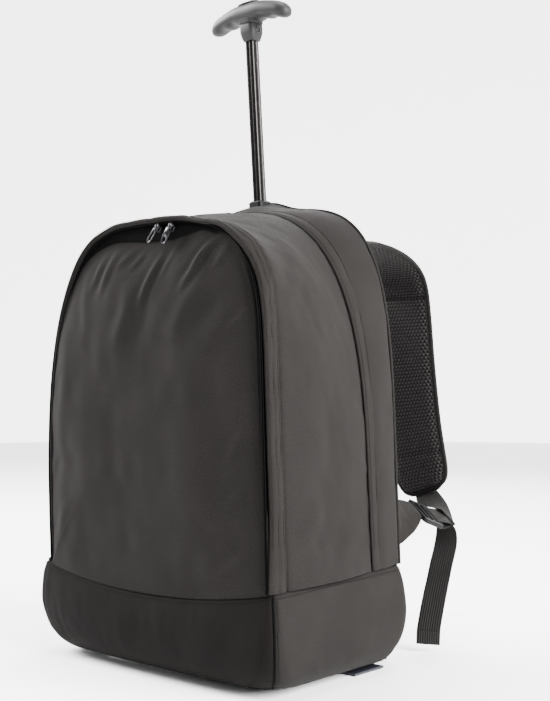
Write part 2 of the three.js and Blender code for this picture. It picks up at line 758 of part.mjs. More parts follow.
function wheels(group) {
  for (const [side, sign] of [['left', -1], ['right', 1]]) {
    const hub = ringAcross(AXLE_RADIUS + GAP, HUB_RADIUS, WHEEL_WIDTH - 2, 18);
    const axleLength = 2 * (WELL_HALF + TRAY_WALL) - 1;
    const parts = [
      node(`wheel_tyre_${side}`, tyre(), LOOKS.rubber),
      node(`wheel_hub_${side}`, hub, LOOKS.blackPlastic),
      node(`wheel_axle_${side}`, rodAcross(AXLE_RADIUS, axleLength, 12), LOOKS.steel),
    ];
    for (const part of parts) {
      part.position.set(sign * WHEEL_SPREAD, WHEEL_Y, WHEEL_RADIUS);
      group.add(part);
    }
    const foot = new THREE.CylinderGeometry(FOOT_RADIUS, 0.85 * FOOT_RADIUS, TRAY_LIFT - GAP, 16).rotateX(Math.PI / 2);
    const footNode = node(`foot_${side}`, foot, LOOKS.rubber);
    footNode.position.set(sign * FOOT_SPREAD, TRAY_FRONT + FOOT_SETBACK, (TRAY_LIFT - GAP) / 2);
    group.add(footNode);
  }
}

// Pull handle, in its own leaning frame whose origin is where the pole leaves the pack.
function tubeShape(width, depth, radius, wall) {
  const shape = roundedShape(width, depth, radius);
  shape.holes.push(new THREE.Path(roundedPoints(width - 2 * wall, depth - 2 * wall, Math.max(0.6, radius - wall))));
  return shape;
}

const SLEEVE_WIDTH = POLE_WIDTH + 2 * (SLEEVE_CLEAR + SLEEVE_WALL);
const SLEEVE_DEPTH = POLE_DEPTH + 2 * (SLEEVE_CLEAR + SLEEVE_WALL);
const COVER_WIDTH = POLE_WIDTH + 2 * (SLEEVE_CLEAR + COVER_WALL);
const COVER_DEPTH = POLE_DEPTH + 2 * (SLEEVE_CLEAR + COVER_WALL);

function handleCover() {
  const base = SLEEVE_TOP + GAP;
  const rings = [
    ringAt(COVER_WIDTH, COVER_DEPTH, COVER_CORNER, base),
    ringAt(COVER_WIDTH, COVER_DEPTH, COVER_CORNER, 0.4 * COVER_RISE),
    ringAt(0.75 * COVER_WIDTH, 0.78 * COVER_DEPTH, 0.85 * COVER_CORNER, COVER_RISE),
  ];
  const bore = prism(
    roundedShape(POLE_WIDTH + 2 * SLEEVE_CLEAR, POLE_DEPTH + 2 * SLEEVE_CLEAR, POLE_CORNER + SLEEVE_CLEAR),
    2 * COVER_RISE - 2 * SLEEVE_TOP);
  return cut(loft(rings), bore.translate(0, 0, 2 * SLEEVE_TOP));
}

const COLLAR_LOW = POLE_SHOWN + GAP;
const GRIP_LOW = COLLAR_LOW + COLLAR_HEIGHT + GAP;
const GRIP_MIDDLE = GRIP_LOW + GRIP_RISE;

function gripCollar() {
  const wide = COLLAR_WIDTH;
  const rings = [
    ringAt(0.7 * wide, 0.73 * wide, 0.15 * wide, COLLAR_LOW),
    ringAt(0.9 * wide, 0.9 * wide, 0.2 * wide, COLLAR_LOW + 0.3 * COLLAR_HEIGHT),
    ringAt(wide, wide, 0.25 * wide, COLLAR_LOW + 0.6 * COLLAR_HEIGHT),
    ringAt(wide, wide, 0.25 * wide, COLLAR_LOW + COLLAR_HEIGHT),
  ];
  const recess = rodAcross(SCREW_RADIUS + GAP, 2 * (SCREW_DEPTH + GAP), 16);
  return cut(loft(rings), recess.translate(wide / 2, 0, screwHeight()));
}

function screwHeight() {
  return COLLAR_LOW + 0.62 * COLLAR_HEIGHT;
}

function gripRing(row, sign) {
  const x = sign * row.reach * (GRIP_LENGTH / 2);
  const centre = GRIP_MIDDLE - row.drop * GRIP_RISE;
  const ring = [];
  const sides = 12;
  for (let i = 0; i < sides; i += 1) {
    const angle = (2 * Math.PI * i) / sides;
    const tall = Math.sin(angle) > 0 ? row.over : row.under;
    const y = 0.5 * GRIP_DEPTH * row.depth * Math.cos(angle);
    ring.push(new THREE.Vector3(x, y, centre + GRIP_RISE * tall * Math.sin(angle)));
  }
  return ring;
}

function grip() {
  const right = GRIP_ROWS.map((row) => gripRing(row, 1));
  const left = GRIP_ROWS.slice(1).map((row) => gripRing(row, -1)).reverse();
  const wing = loft([...left, ...right]);
  const skirt = loft([
    ringAt(1.05 * COLLAR_WIDTH, 1.05 * COLLAR_WIDTH, 0.25 * COLLAR_WIDTH, GRIP_LOW),
    ringAt(1.25 * COLLAR_WIDTH, 1.1 * COLLAR_WIDTH, 0.3 * COLLAR_WIDTH, GRIP_LOW + 0.5 * SKIRT_HEIGHT),
    ringAt(1.9 * COLLAR_WIDTH, 1.1 * COLLAR_WIDTH, 0.4 * COLLAR_WIDTH, GRIP_LOW + SKIRT_HEIGHT),
  ]);
  const pocketDepth = BUTTON_BODY + BUTTON_TRAVEL + 2 * GAP;
  const pocketShape = roundedShape(BUTTON_LENGTH + 2 * GAP, BUTTON_WIDTH + 2 * GAP, BUTTON_WIDTH / 2);
  const pocket = prism(pocketShape, 2 * pocketDepth);
  return cut(joined(wing, skirt), pocket.translate(0, 0, GRIP_MIDDLE + GRIP_RISE - pocketDepth));
}

function releaseButton() {
  const top = GRIP_MIDDLE + GRIP_RISE;
  const corner = BUTTON_WIDTH / 2 - 0.1;
  return loft([
    ringAt(BUTTON_LENGTH, BUTTON_WIDTH, corner, top - BUTTON_BODY),
    ringAt(BUTTON_LENGTH, BUTTON_WIDTH, corner, top),
    ringAt(0.9 * BUTTON_LENGTH, 0.8 * BUTTON_WIDTH, 0.8 * corner, top + 0.7 * BUTTON_PROUD),
    ringAt(0.6 * BUTTON_LENGTH, 0.4 * BUTTON_WIDTH, 0.4 * corner, top + BUTTON_PROUD),
  ]);
}

function pullHandle() {
  const handle = new THREE.Group();
  handle.position.set(0, EXIT_Y, EXIT_Z);
  handle.rotation.x = HANDLE_LEAN;
  const pole = prism(tubeShape(POLE_WIDTH, POLE_DEPTH, POLE_CORNER, POLE_WALL), POLE_HIDDEN + POLE_SHOWN);
  pole.translate(0, 0, -POLE_HIDDEN);
  const sleeveFoot = (SLEEVE_FOOT - EXIT_Z) / Math.cos(HANDLE_LEAN) + 1;
  const sleeve = prism(
    tubeShape(SLEEVE_WIDTH, SLEEVE_DEPTH, POLE_CORNER + SLEEVE_WALL, SLEEVE_WALL), SLEEVE_TOP - sleeveFoot);
  sleeve.translate(0, 0, sleeveFoot);
  const screw = rodAcross(SCREW_RADIUS, SCREW_DEPTH, 12);
  screw.translate(COLLAR_WIDTH / 2 - SCREW_DEPTH / 2, 0, screwHeight());
  handle.add(node('handle_sleeve', sleeve, LOOKS.pole));
  handle.add(node('handle_cover', handleCover(), LOOKS.blackPlastic));
  handle.add(node('handle_pole', pole, LOOKS.pole));
  handle.add(node('grip_collar', gripCollar(), LOOKS.gripGrey));
  handle.add(node('collar_screw', screw, LOOKS.nickel));
  handle.add(node('grip', grip(), LOOKS.gripGrey));
  handle.add(node('release_button', releaseButton(), LOOKS.blackPlastic));
  return handle;
}

// Rear gusset with the hole that the handle's cover stands in
function rearGusset() {
  const front = archLine(ARCHES.zip, 0, ZIP_WIDTH / 2 + GAP);
  const rear = archLine(ARCHES.back, 0, 0);
  const wall = sheet(gusset(front, rear, 4, GUSSET_BULGE * 0.7), CLOTH);
  const hole = prism(roundedShape(COVER_WIDTH + 2 * GAP, COVER_DEPTH + 2 * GAP, COVER_CORNER), 2 * HOLE_REACH);
  hole.translate(0, 0, -HOLE_REACH).rotateX(HANDLE_LEAN).translate(0, EXIT_Y, EXIT_Z);
  return cut(wall, hole);
}

// Zip slider and puller: the hinge line is local X, the puller hangs along local -Z
function zipSlider() {
  const ear = BARREL_WIDTH / 2 + GAP;
  const back = BARREL_RADIUS + 2 * GAP;
  const body = block(
    -SLIDER_WIDTH / 2, SLIDER_WIDTH / 2, back, back + SLIDER_THICK, -0.6 * SLIDER_LENGTH, 0.4 * SLIDER_LENGTH);
  const ears = [-1, 1].map((side) => {
    const near = side * ear;
    const far = side * (ear + EAR_THICK);
    return block(
      Math.min(near, far), Math.max(near, far),
      -0.75 * BARREL_RADIUS, back + 0.4 * SLIDER_THICK, -EAR_REACH, EAR_REACH);
  });
  return joined(body, ...ears, rodAcross(PIN_RADIUS, 2 * ear + EAR_THICK, 8));
}

function zipPuller() {
  const barrel = ringAcross(EYE_RADIUS, BARREL_RADIUS, BARREL_WIDTH, 10);
  const wide = PULLER_WIDTH;
  const plateLength = PULLER_LENGTH - PULLER_NECK;
  const shape = roundedShape(wide, plateLength, 0.35 * wide);
  shape.holes.push(new THREE.Path(roundedPoints(wide - 2 * PULLER_SLOT, 0.5 * plateLength, SLOT_CORNER)));
  const plate = prism(shape, PULLER_THICK).translate(0, 0, -PULLER_THICK / 2).rotateX(Math.PI / 2);
  plate.translate(0, 0, -PULLER_NECK - plateLength / 2);
  const neck = block(
    -BARREL_WIDTH / 2, BARREL_WIDTH / 2, -PULLER_THICK / 2, PULLER_THICK / 2,
    -PULLER_NECK - NECK_OVERLAP, -0.5 * (EYE_RADIUS + BARREL_RADIUS));
  return joined(barrel, plate, neck);
}

const HINGE_LIFT = BARREL_RADIUS + 2 * GAP + SLIDER_THICK;

function frontSliders(group) {
  for (const { side, across, swing } of FRONT_SLIDERS) {
    const seat = archAt(ARCHES.rim, SLIDER_INSET, across * HALF_WIDTH);
    const hang = new THREE.Group();
    hang.position.set(seat.x, seat.y + ZIP_SHELTER - GAP - HINGE_LIFT, seat.z);
    hang.rotation.y = THREE.MathUtils.degToRad(swing);
    hang.add(node(`front_slider_${side}`, zipSlider(), LOOKS.nickel));
    hang.add(node(`front_puller_${side}`, zipPuller(), LOOKS.nickel));
    group.add(hang);
  }
}

function mainSlider(group) {
  const seat = archAt(ARCHES.zip, ZIP_SINK, MAIN_SLIDER_ACROSS * HALF_WIDTH);
  const rest = new THREE.Group();
  const basis = new THREE.Matrix4().makeBasis(
    new THREE.Vector3(0, -1, 0), new THREE.Vector3(0, 0, -1), new THREE.Vector3(1, 0, 0));
  rest.quaternion.setFromRotationMatrix(basis);
  rest.position.set(seat.x, seat.y, seat.z + GAP + HINGE_LIFT);
  const puller = node('main_puller', zipPuller(), LOOKS.nickel);
  puller.rotation.x = THREE.MathUtils.degToRad(MAIN_PULLER_DROOP);
  rest.add(node('main_slider', zipSlider(), LOOKS.nickel));
  rest.add(puller);
  group.add(rest);
}

// Shoulder straps
function ribbon(path, across, width, thick) {
  const rings = path.map((p, i) => {
    const before = path[Math.max(0, i - 1)];
    const after = path[Math.min(path.length - 1, i + 1)];
    const run = after.clone().sub(before).normalize();
    const normal = new THREE.Vector3().crossVectors(run, across[i]).normalize();
    const side = new THREE.Vector3().crossVectors(normal, run).normalize();
    const corner = (w, t) => p.clone().addScaledVector(side, w * width[i] / 2).addScaledVector(normal, t * thick / 2);
    return [corner(-1, -1), corner(1, -1), corner(1, 1), corner(-1, 1)];
  });
  return loft(rings);
}

function backSurfaceY(x, z) {
  const share = Math.max(Math.abs(x) / HALF_WIDTH, Math.abs(z / BODY_HEIGHT - 0.55) / 0.45);
  return archY(ARCHES.back, x, z) + BACK_DOME * (1 - Math.min(1, share) ** 4);
}

const PAD_ROOT_Y = backSurfaceY(PAD_ROWS[0].across * HALF_WIDTH, PAD_ROWS[0].height * BODY_HEIGHT) + PAD_SEAT;

function padPoint(row) {
  return new THREE.Vector3(
    row.across * HALF_WIDTH, PAD_ROOT_Y + row.reach * STRAP_REACH, row.height * BODY_HEIGHT);
}

function strapPad() {
  const points = PAD_ROWS.map(padPoint);
  const section = [...PAD_SECTION, ...PAD_SECTION.map((p) => ({ across: -p.across, thick: -p.thick }))];
  const rings = PAD_ROWS.map((row, i) => {
    const before = points[Math.max(0, i - 1)];
    const after = points[Math.min(points.length - 1, i + 1)];
    const run = after.clone().sub(before).normalize();
    const normal = new THREE.Vector3().crossVectors(run, new THREE.Vector3(1, 0, 0)).normalize();
    const side = new THREE.Vector3().crossVectors(normal, run).normalize();
    return section.map((p) => points[i].clone()
      .addScaledVector(side, p.across * row.width * PAD_WIDTH / 2)
      .addScaledVector(normal, p.thick * PAD_THICK / 2));
  });
  return loft(rings);
}

// Buckle frame: the strap's line runs backwards and a little down, the bars tilt outwards and down.
const STRAP_LINE = new THREE.Vector3(0.081, 0.943, -0.322).normalize();
const STRAP_BAR = new THREE.Vector3(0.817, -0.256, -0.518).normalize();
const STRAP_FACE = new THREE.Vector3().crossVectors(STRAP_LINE, STRAP_BAR).normalize();
const WING_REACH = 46;
const WING_HEIGHT = 151;
const WING_TUCK = 14;
const WING_RISE = 3;
const WING_NECK = 8;
const WING_MARGIN = 4;
const BUCKLE_CORNER = 4;
const WEB_BEND_REACH = 11;
const WEB_BEND_RISE = 3;
const WEB_DROP = 5;
const TAIL_SEAT = 0.7;
const TAIL_REACH = 17;
const TAIL_FOLD = new THREE.Vector3(1, 3, -2);
const TAIL_LENS = new THREE.Vector3(0.95, 0.3, 0);
const TAIL_TURN_STEPS = 5;

function wingTip() {
  return new THREE.Vector3(
    HALF_WIDTH - WING_TUCK, archY(ARCHES.back, HALF_WIDTH, WING_HEIGHT) + WING_REACH, WING_HEIGHT + WING_RISE);
}

function buckleCentre() {
  return wingTip().addScaledVector(STRAP_LINE, BUCKLE_LENGTH / 2 + 2 * GAP);
}

function strapWing() {
  const rootX = ARCHES.back.width * HALF_WIDTH - CLOTH / 2;
  const rootY = archY(ARCHES.back, rootX, WING_HEIGHT) + GAP;
  const tip = wingTip();
  const neck = tip.clone().addScaledVector(STRAP_LINE, -WING_NECK);
  const steps = [0, 0.35, 0.7, 1];
  const path = steps.map((s) => new THREE.Vector3(
    lerp(rootX, neck.x, s), lerp(rootY, neck.y, s), lerp(WING_HEIGHT, neck.z, s)));
  const upright = new THREE.Vector3(0, ARCHES.back.lean, -1);
  const across = steps.map((s) => upright.clone().lerp(STRAP_BAR, s).normalize());
  const width = steps.map((s) => lerp(WING_ROOT, WEB_WIDTH + WING_MARGIN, s));
  const collar = path[0].clone().add(new THREE.Vector3(0, WING_THICK, WING_THICK * ARCHES.back.lean));
  const line = [path[0], collar, ...path.slice(1), tip];
  return ribbon(line, [upright, ...across, STRAP_BAR], [WING_ROOT, ...width, WEB_WIDTH], WING_THICK);
}

function buckle() {
  const outline = roundedShape(BUCKLE_LENGTH, BUCKLE_WIDTH, BUCKLE_CORNER);
  const frame = prism(outline, BUCKLE_THICK).translate(0, 0, -BUCKLE_THICK / 2);
  const slotHalf = BUCKLE_WIDTH / 2 - BUCKLE_BAR;
  const slotWidth = (BUCKLE_LENGTH - 4 * BUCKLE_BAR) / 3;
  const slots = [-1, 0, 1].map((place) => {
    const x = place * (slotWidth + BUCKLE_BAR);
    return block(x - slotWidth / 2, x + slotWidth / 2, -slotHalf, slotHalf, -BUCKLE_THICK, BUCKLE_THICK);
  });
  return cut(frame, ...slots);
}

function mirroredVector(v, sign) {
  return new THREE.Vector3(sign * v.x, v.y, v.z);
}

function buckleNode(side, sign) {
  const line = mirroredVector(STRAP_LINE, sign);
  const bar = mirroredVector(STRAP_BAR, sign);
  const face = new THREE.Vector3().crossVectors(line, bar);
  const mesh = node(`buckle_${side}`, buckle(), LOOKS.blackPlastic);
  mesh.quaternion.setFromRotationMatrix(new THREE.Matrix4().makeBasis(line, bar, face));
  mesh.position.copy(mirroredVector(buckleCentre(), sign));
  return mesh;
}

function farBar() {
  return buckleCentre().addScaledVector(STRAP_LINE, BUCKLE_LENGTH / 2 - BUCKLE_BAR / 2);
}

function towardsUp() {
  return STRAP_FACE.z > 0 ? STRAP_FACE.clone() : STRAP_FACE.clone().negate();
}

function strapWebbing() {
  const last = PAD_ROWS[PAD_ROWS.length - 1];
  const run = padPoint(last).sub(padPoint(PAD_ROWS[PAD_ROWS.length - 2])).normalize();
  const from = padPoint(last).addScaledVector(run, 2 * GAP);
  const seat = BUCKLE_THICK / 2 + WEB_THICK / 2 + 5 * GAP;
  const to = farBar().addScaledVector(towardsUp(), seat);
  const bend = to.clone().addScaledVector(STRAP_LINE, WEB_BEND_REACH).addScaledVector(towardsUp(), WEB_BEND_RISE);
  const below = from.clone().addScaledVector(run, WEB_DROP);
  const curve = new THREE.CatmullRomCurve3([from, below, bend, to]);
  const path = [from, below, ...curve.getPoints(9).slice(4)];
  const flat = new THREE.Vector3(1, 0, 0);
  const across = path.map((p, i) => flat.clone().lerp(STRAP_BAR, i / (path.length - 1)).normalize());
  return ribbon(path, across, path.map(() => WEB_WIDTH), WEB_THICK);
}

// Free webbing end: it leaves the buckle backwards, folds over and hangs down with a slight twist.
function strapTail() {
  const seat = BUCKLE_THICK / 2 + WEB_THICK / 2 + TAIL_SEAT;
  const start = farBar().addScaledVector(towardsUp(), -seat);
  const fold = start.clone().addScaledVector(STRAP_LINE, TAIL_REACH).add(TAIL_FOLD);
  const hanging = TAIL_ROWS.map(({ drop, back, out }) => new THREE.Vector3(
    fold.x + out * TAIL_LENGTH, fold.y + back * TAIL_LENGTH, fold.z - drop * TAIL_LENGTH));
  const curve = new THREE.CatmullRomCurve3([start, fold, ...hanging]);
  const path = curve.getPoints(12);
  const across = path.map((p, i) => STRAP_BAR.clone().lerp(TAIL_LENS, Math.min(1, i / TAIL_TURN_STEPS)).normalize());
  return ribbon(path, across, path.map(() => WEB_WIDTH), WEB_THICK);
}

function straps(group) {
  const parts = [
    ['strap_pad', strapPad(), LOOKS.mesh],
    ['strap_wing', strapWing(), LOOKS.weave],
    ['strap_webbing', strapWebbing(), LOOKS.webbing],
    ['strap_tail', strapTail(), LOOKS.webbing],
  ];
  for (const [name, geometry, look] of parts) {
    group.add(node(`${name}_right`, geometry, look));
    group.add(node(`${name}_left`, mirrored(geometry), look));
  }
  group.add(buckleNode('right', 1));
  group.add(buckleNode('left', -1));
}

function packBody(group) {
  const proud = (x) => FLAP_PROUD * Math.min(1, Math.max(0, 1 + x / FLAP_FADE));
  const flapFront = archLine(ARCHES.rim).map((p) => p.setY(p.y - proud(p.x)));
  const flapRear = archLine(ARCHES.seam, 0, -GAP / 2);
  const gussetFront = archLine(ARCHES.seam, 0, GAP / 2);
  const gussetRear = archLine(ARCHES.zip, 0, -ZIP_WIDTH / 2 - GAP);
  const base = basePanels();
  group.add(node('front_panel', frontPanel(), LOOKS.weave));
  group.add(node('front_flap', sheet(gusset(flapFront, flapRear, 3, 0.5 * GUSSET_BULGE), CLOTH), LOOKS.weave));
  group.add(node('front_gusset', sheet(gusset(gussetFront, gussetRear, 5, GUSSET_BULGE), CLOTH), LOOKS.weave));
  group.add(node('rear_gusset', rearGusset(), LOOKS.weave));
  group.add(node('front_zip', zipBand(ARCHES.rim, CLOTH + FLAP_CLEAR, ZIP_SHELTER), LOOKS.zipTape));
  group.add(node('main_zip', zipBand(ARCHES.zip, ZIP_SINK, -ZIP_WIDTH / 2), LOOKS.zipTape));
  group.add(node('back_panel', backPanel(), LOOKS.mesh));
  group.add(node('front_base_panel', base.front, LOOKS.baseWeave));
  group.add(node('base_side_left', base.left, LOOKS.weave));
  group.add(node('base_side_right', base.right, LOOKS.weave));
  group.add(node('base_tray', baseTray(), LOOKS.blackPlastic));
}

const group = new THREE.Group();
packBody(group);
wheels(group);
group.add(pullHandle());
frontSliders(group);
mainSlider(group);
straps(group);

// Stand the pack on the floor, centred on its own box.
group.updateMatrixWorld(true);
const box = new THREE.Box3().setFromObject(group, true);
const middle = box.getCenter(new THREE.Vector3());
group.position.set(-middle.x, -middle.y, -box.min.z);

export default group;
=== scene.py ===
"""Wheeled backpack: the visible pieces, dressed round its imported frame.

Tables and sizes are in millimetres in the model's own frame: X across, Y front to back, Z up from the floor.
"""
import json
import math
import bpy
import numpy as np
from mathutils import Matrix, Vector


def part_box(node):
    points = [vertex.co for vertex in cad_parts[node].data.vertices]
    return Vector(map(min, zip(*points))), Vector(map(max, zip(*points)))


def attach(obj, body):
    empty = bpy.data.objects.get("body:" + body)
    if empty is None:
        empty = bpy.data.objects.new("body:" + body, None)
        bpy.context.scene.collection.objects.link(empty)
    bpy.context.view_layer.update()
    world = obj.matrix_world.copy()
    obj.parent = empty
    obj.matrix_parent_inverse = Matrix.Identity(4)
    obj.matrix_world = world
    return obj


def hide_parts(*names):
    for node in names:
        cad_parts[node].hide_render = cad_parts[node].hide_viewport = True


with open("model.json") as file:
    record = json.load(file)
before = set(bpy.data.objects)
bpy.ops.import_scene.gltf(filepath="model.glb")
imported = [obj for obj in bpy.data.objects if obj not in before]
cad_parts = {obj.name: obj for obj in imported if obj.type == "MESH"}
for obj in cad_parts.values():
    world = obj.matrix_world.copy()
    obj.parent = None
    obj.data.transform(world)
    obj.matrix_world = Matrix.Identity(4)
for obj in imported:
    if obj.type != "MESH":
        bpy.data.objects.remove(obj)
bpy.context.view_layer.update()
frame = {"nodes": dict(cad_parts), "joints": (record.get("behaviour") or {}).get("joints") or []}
NODES = frame["nodes"]

# Pack body
BODY_WIDTH = 332.0
BODY_HEIGHT = 483.0
BODY_DEPTH = 200.0
HALF_WIDTH = BODY_WIDTH / 2
FRONT_Y = -0.52 * BODY_DEPTH
SEAM_HEIGHT = 98.0
SEAM_SMILE = 16.0
SEAM_BACK_RISE = 6.0
BASE_BULGE = 6.0
BASE_ROUND = 28.0
PANEL_DOME = 14.0
PANEL_RECESS = 4.0
FLAP_PROUD = 3.0
GUSSET_BULGE = 4.0
BACK_DOME = 9.0
BACK_PAD = 4.0
ZIP_GAP = 7.0
PEAK_SPREAD = 28.0
GAP = 0.3
BASE_REAR_X = HALF_WIDTH - BASE_ROUND + 0.5
KICK_HEIGHT = 62.0
WHEEL_RADIUS = 28.0
WHEEL_INSET = 42.0
WHEEL_PROUD = 3.0
WHEEL_Y = FRONT_Y + BODY_DEPTH + BASE_BULGE + WHEEL_PROUD - WHEEL_RADIUS

# Pull handle
HANDLE_LEAN = math.atan(0.0755)
EXIT_Y = FRONT_Y + BODY_DEPTH - 37.0
EXIT_Z = BODY_HEIGHT - 3.0
POLE_WIDTH = 11.0
POLE_DEPTH = 12.0
POLE_CORNER = 2.6
POLE_SHOWN = 173.0
POLE_HIDDEN = 246.0
COLLAR_HEIGHT = 17.5
COLLAR_WIDTH = 20.0
SCREW_SHARE = 0.62
SCREW_RIM = 3.3
GRIP_LENGTH = 110.0
GRIP_RISE = 11.0
GRIP_DEPTH = 25.0
SKIRT_HEIGHT = 9.0
COLLAR_LOW = POLE_SHOWN + GAP
GRIP_LOW = COLLAR_LOW + COLLAR_HEIGHT + GAP
GRIP_MIDDLE = GRIP_LOW + GRIP_RISE

# Straps
PAD_WIDTH = 66.0
PAD_THICK = 11.0
PAD_SEAT = 0.7
PAD_SEAM = 0.37
PAD_EDGE = 9.5
STRAP_REACH = 116.0
WEB_WIDTH = 25.0
WEB_THICK = 1.8
TAIL_LENGTH = 132.0
WING_REACH = 46.0
WING_HEIGHT = 151.0
WING_TUCK = 14.0
WING_ROOT = 58.0
WING_THICK = 3.0
BUCKLE_LENGTH = 32.0
BUCKLE_THICK = 4.5
BUCKLE_BAR = 4.5
RIB_REACH = 14.5
FOLD_REACH = 19.0

# Sewing and zip coils
STITCH_RADIUS = 0.36
STITCH_RISE = 0.1
STITCH_RINGS = [(-0.5, 0.0), (-0.36, 0.8), (0.0, 1.0), (0.36, 0.8), (0.5, 0.0)]
COIL_PITCH = 1.5
COIL_STAGGER = 0.75
COIL_RINGS = [(-1.5, 0.0), (-1.2, 0.8), (0.0, 1.0), (1.2, 0.8), (1.5, 0.0)]

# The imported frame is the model's frame, shifted along Y.
_low, _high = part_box("wheel_tyre_left")
ORIGIN_Y = 500.0 * (_low.y + _high.y) - WHEEL_Y
CENTRE = np.array([0.0, 0.0, 0.5 * BODY_HEIGHT])

# Arches round the pack, front to back: depth, width, shoulder and top are shares of the body's sizes.
# Lean is the forward slope, bow the crown's swell and peak the ridge over the handle. The left side slumps.
ARCHES = {
    "rim": dict(
        depth=0, lean=0.037, width=0.982, shoulder=0.61, top=0.912, squareness=3.5, bow=-0.01, peak=0,
        left=dict(width=0.905, shoulder=0.25, squareness=2.7),
    ),
    "seam": dict(
        depth=0.125, lean=0.057, width=1, shoulder=0.631, top=0.906, squareness=4, bow=-0.01, peak=0,
        left=dict(width=0.935, shoulder=0.26, squareness=2.6),
    ),
    "zip": dict(
        depth=0.77, lean=0.0757, width=1, shoulder=0.424, top=0.957, squareness=2.8, bow=0, peak=0,
        left=dict(width=0.97, shoulder=0.38, squareness=2.5),
    ),
    "back": dict(
        depth=1, lean=0.062, width=0.975, shoulder=0.455, top=0.975, squareness=3.6, bow=0.045, peak=0.023,
        left=dict(width=0.97, shoulder=0.44, squareness=3.3),
    ),
}
SIDE_STEPS = 30
CURVE_STEPS = 90


# Numbers
def smooth_noise(seed, cells_u, cells_v, u, v):
    """Soft random hills between -1 and 1 over u and v from 0 to 1."""
    lattice = np.random.RandomState(seed).uniform(-1, 1, (cells_u + 3, cells_v + 3))
    x, y = np.broadcast_arrays(np.clip(u, 0, 1) * cells_u, np.clip(v, 0, 1) * cells_v)
    i, j = x.astype(int), y.astype(int)
    fx, fy = x - i, y - j
    sx, sy = fx * fx * (3 - 2 * fx), fy * fy * (3 - 2 * fy)
    low = lattice[i, j] * (1 - sx) + lattice[i + 1, j] * sx
    high = lattice[i, j + 1] * (1 - sx) + lattice[i + 1, j + 1] * sx
    return low * (1 - sy) + high * sy


def hills(u, v, *rows):
    """Sum of soft hills; a row is (height, seed, cells along u, cells along v)."""
    return sum(height * smooth_noise(seed, along, across, u, v) for height, seed, along, across in rows)


def resample(points, count):
    """The same line through evenly spaced points."""
    points = np.asarray(points, float)
    steps = np.linalg.norm(np.diff(points, axis=0), axis=1)
    along = np.concatenate([[0], np.cumsum(steps)])
    want = np.linspace(0, along[-1], count)
    return np.stack([np.interp(want, along, points[:, k]) for k in range(points.shape[1])], axis=1)


def smooth_curve(points, count):
    """Catmull-Rom curve through the points, evenly spaced."""
    p = np.asarray(points, float)
    p = np.vstack([2 * p[0] - p[1], p, 2 * p[-1] - p[-2]])
    out = []
    for i in range(1, len(p) - 2):
        for t in np.linspace(0, 1, 24, endpoint=False):
            out.append(0.5 * (2 * p[i] + (p[i + 1] - p[i - 1]) * t
                              + (2 * p[i - 1] - 5 * p[i] + 4 * p[i + 1] - p[i + 2]) * t ** 2
                              + (3 * p[i] - p[i - 1] - 3 * p[i + 1] + p[i + 2]) * t ** 3))
    out.append(p[-2])
    return resample(out, count)


def unit(v):
    v = np.asarray(v, float)
    return v / np.maximum(np.linalg.norm(v, axis=-1, keepdims=True), 1e-9)


def tangents(points):
    return unit(np.gradient(np.asarray(points, float), axis=0))


def path_length(path):
    return np.linalg.norm(np.diff(path, axis=0), axis=1).sum()


def ridge(x, z, line, width, height):
    """Height of one soft fold whose crest follows a line of points and fades at both ends."""
    line = np.asarray(line, float)
    best = np.full(np.shape(x), 1e9)
    share = np.zeros(np.shape(x))
    lengths = np.linalg.norm(np.diff(line, axis=0), axis=1)
    total = lengths.sum()
    done = 0.0
    for a, b, length in zip(line[:-1], line[1:], lengths):
        d = (b - a) / length
        t = np.clip((x - a[0]) * d[0] + (z - a[1]) * d[1], 0, length)
        away = np.hypot(x - a[0] - t * d[0], z - a[1] - t * d[1])
        near = away < best
        best = np.where(near, away, best)
        share = np.where(near, (done + t) / total, share)
        done += length
    fade = np.sin(np.pi * np.clip(share, 0.02, 0.98)) ** 0.6
    crest = np.exp(-(best / width) ** 2) - 0.35 * np.exp(-((best - 2.1 * width) / width) ** 2)
    return height * fade * crest


# Pack arches
def side_seam_height(y):
    return SEAM_HEIGHT + SEAM_BACK_RISE * (y - FRONT_Y) / BODY_DEPTH


def front_seam_height(x):
    share = np.minimum(1, np.abs(x) / HALF_WIDTH)
    return SEAM_HEIGHT - SEAM_SMILE * (1 - share ** 2)


def arch_y(arch, x, z):
    swell = arch["bow"] * BODY_DEPTH * (1 - (x / HALF_WIDTH) ** 2)
    return FRONT_Y + arch["depth"] * BODY_DEPTH - arch["lean"] * z + swell


def half_arch(arch):
    half = arch["width"] * HALF_WIDTH
    shoulder = arch["shoulder"] * BODY_HEIGHT
    rise = arch["top"] * BODY_HEIGHT - shoulder
    low = side_seam_height(arch_y(arch, half, SEAM_HEIGHT)) + GAP
    side = np.stack([np.full(SIDE_STEPS, half), np.linspace(low, shoulder, SIDE_STEPS, endpoint=False)], 1)
    angle = np.linspace(0, math.pi / 2, 900)
    x = half * np.cos(angle) ** (2 / arch["squareness"])
    x[-1] = 0
    ridge_up = arch["peak"] * BODY_HEIGHT * np.exp(-(x / PEAK_SPREAD) ** 2)
    z = shoulder + rise * np.sin(angle) ** (2 / arch["squareness"]) + ridge_up
    return np.vstack([side, resample(np.stack([x, z], 1), CURVE_STEPS + 1)])


def arch_line(name, inset=0.0, slide=0.0):
    """The arch from the left base seam over the crown to the right base seam, and its outward directions."""
    arch = ARCHES[name]
    right = half_arch(arch)
    left = half_arch({**arch, **arch["left"]})[:-1] * [-1, 1]
    flat = np.vstack([left, right[::-1]])
    run = tangents(flat)
    away = np.stack([-run[:, 1], run[:, 0]], 1)
    flat = flat - away * np.reshape(inset, (-1, 1))
    points = np.stack([flat[:, 0], arch_y(arch, flat[:, 0], flat[:, 1]) + slide, flat[:, 1]], 1)
    return points, np.stack([away[:, 0], np.zeros(len(away)), away[:, 1]], 1)


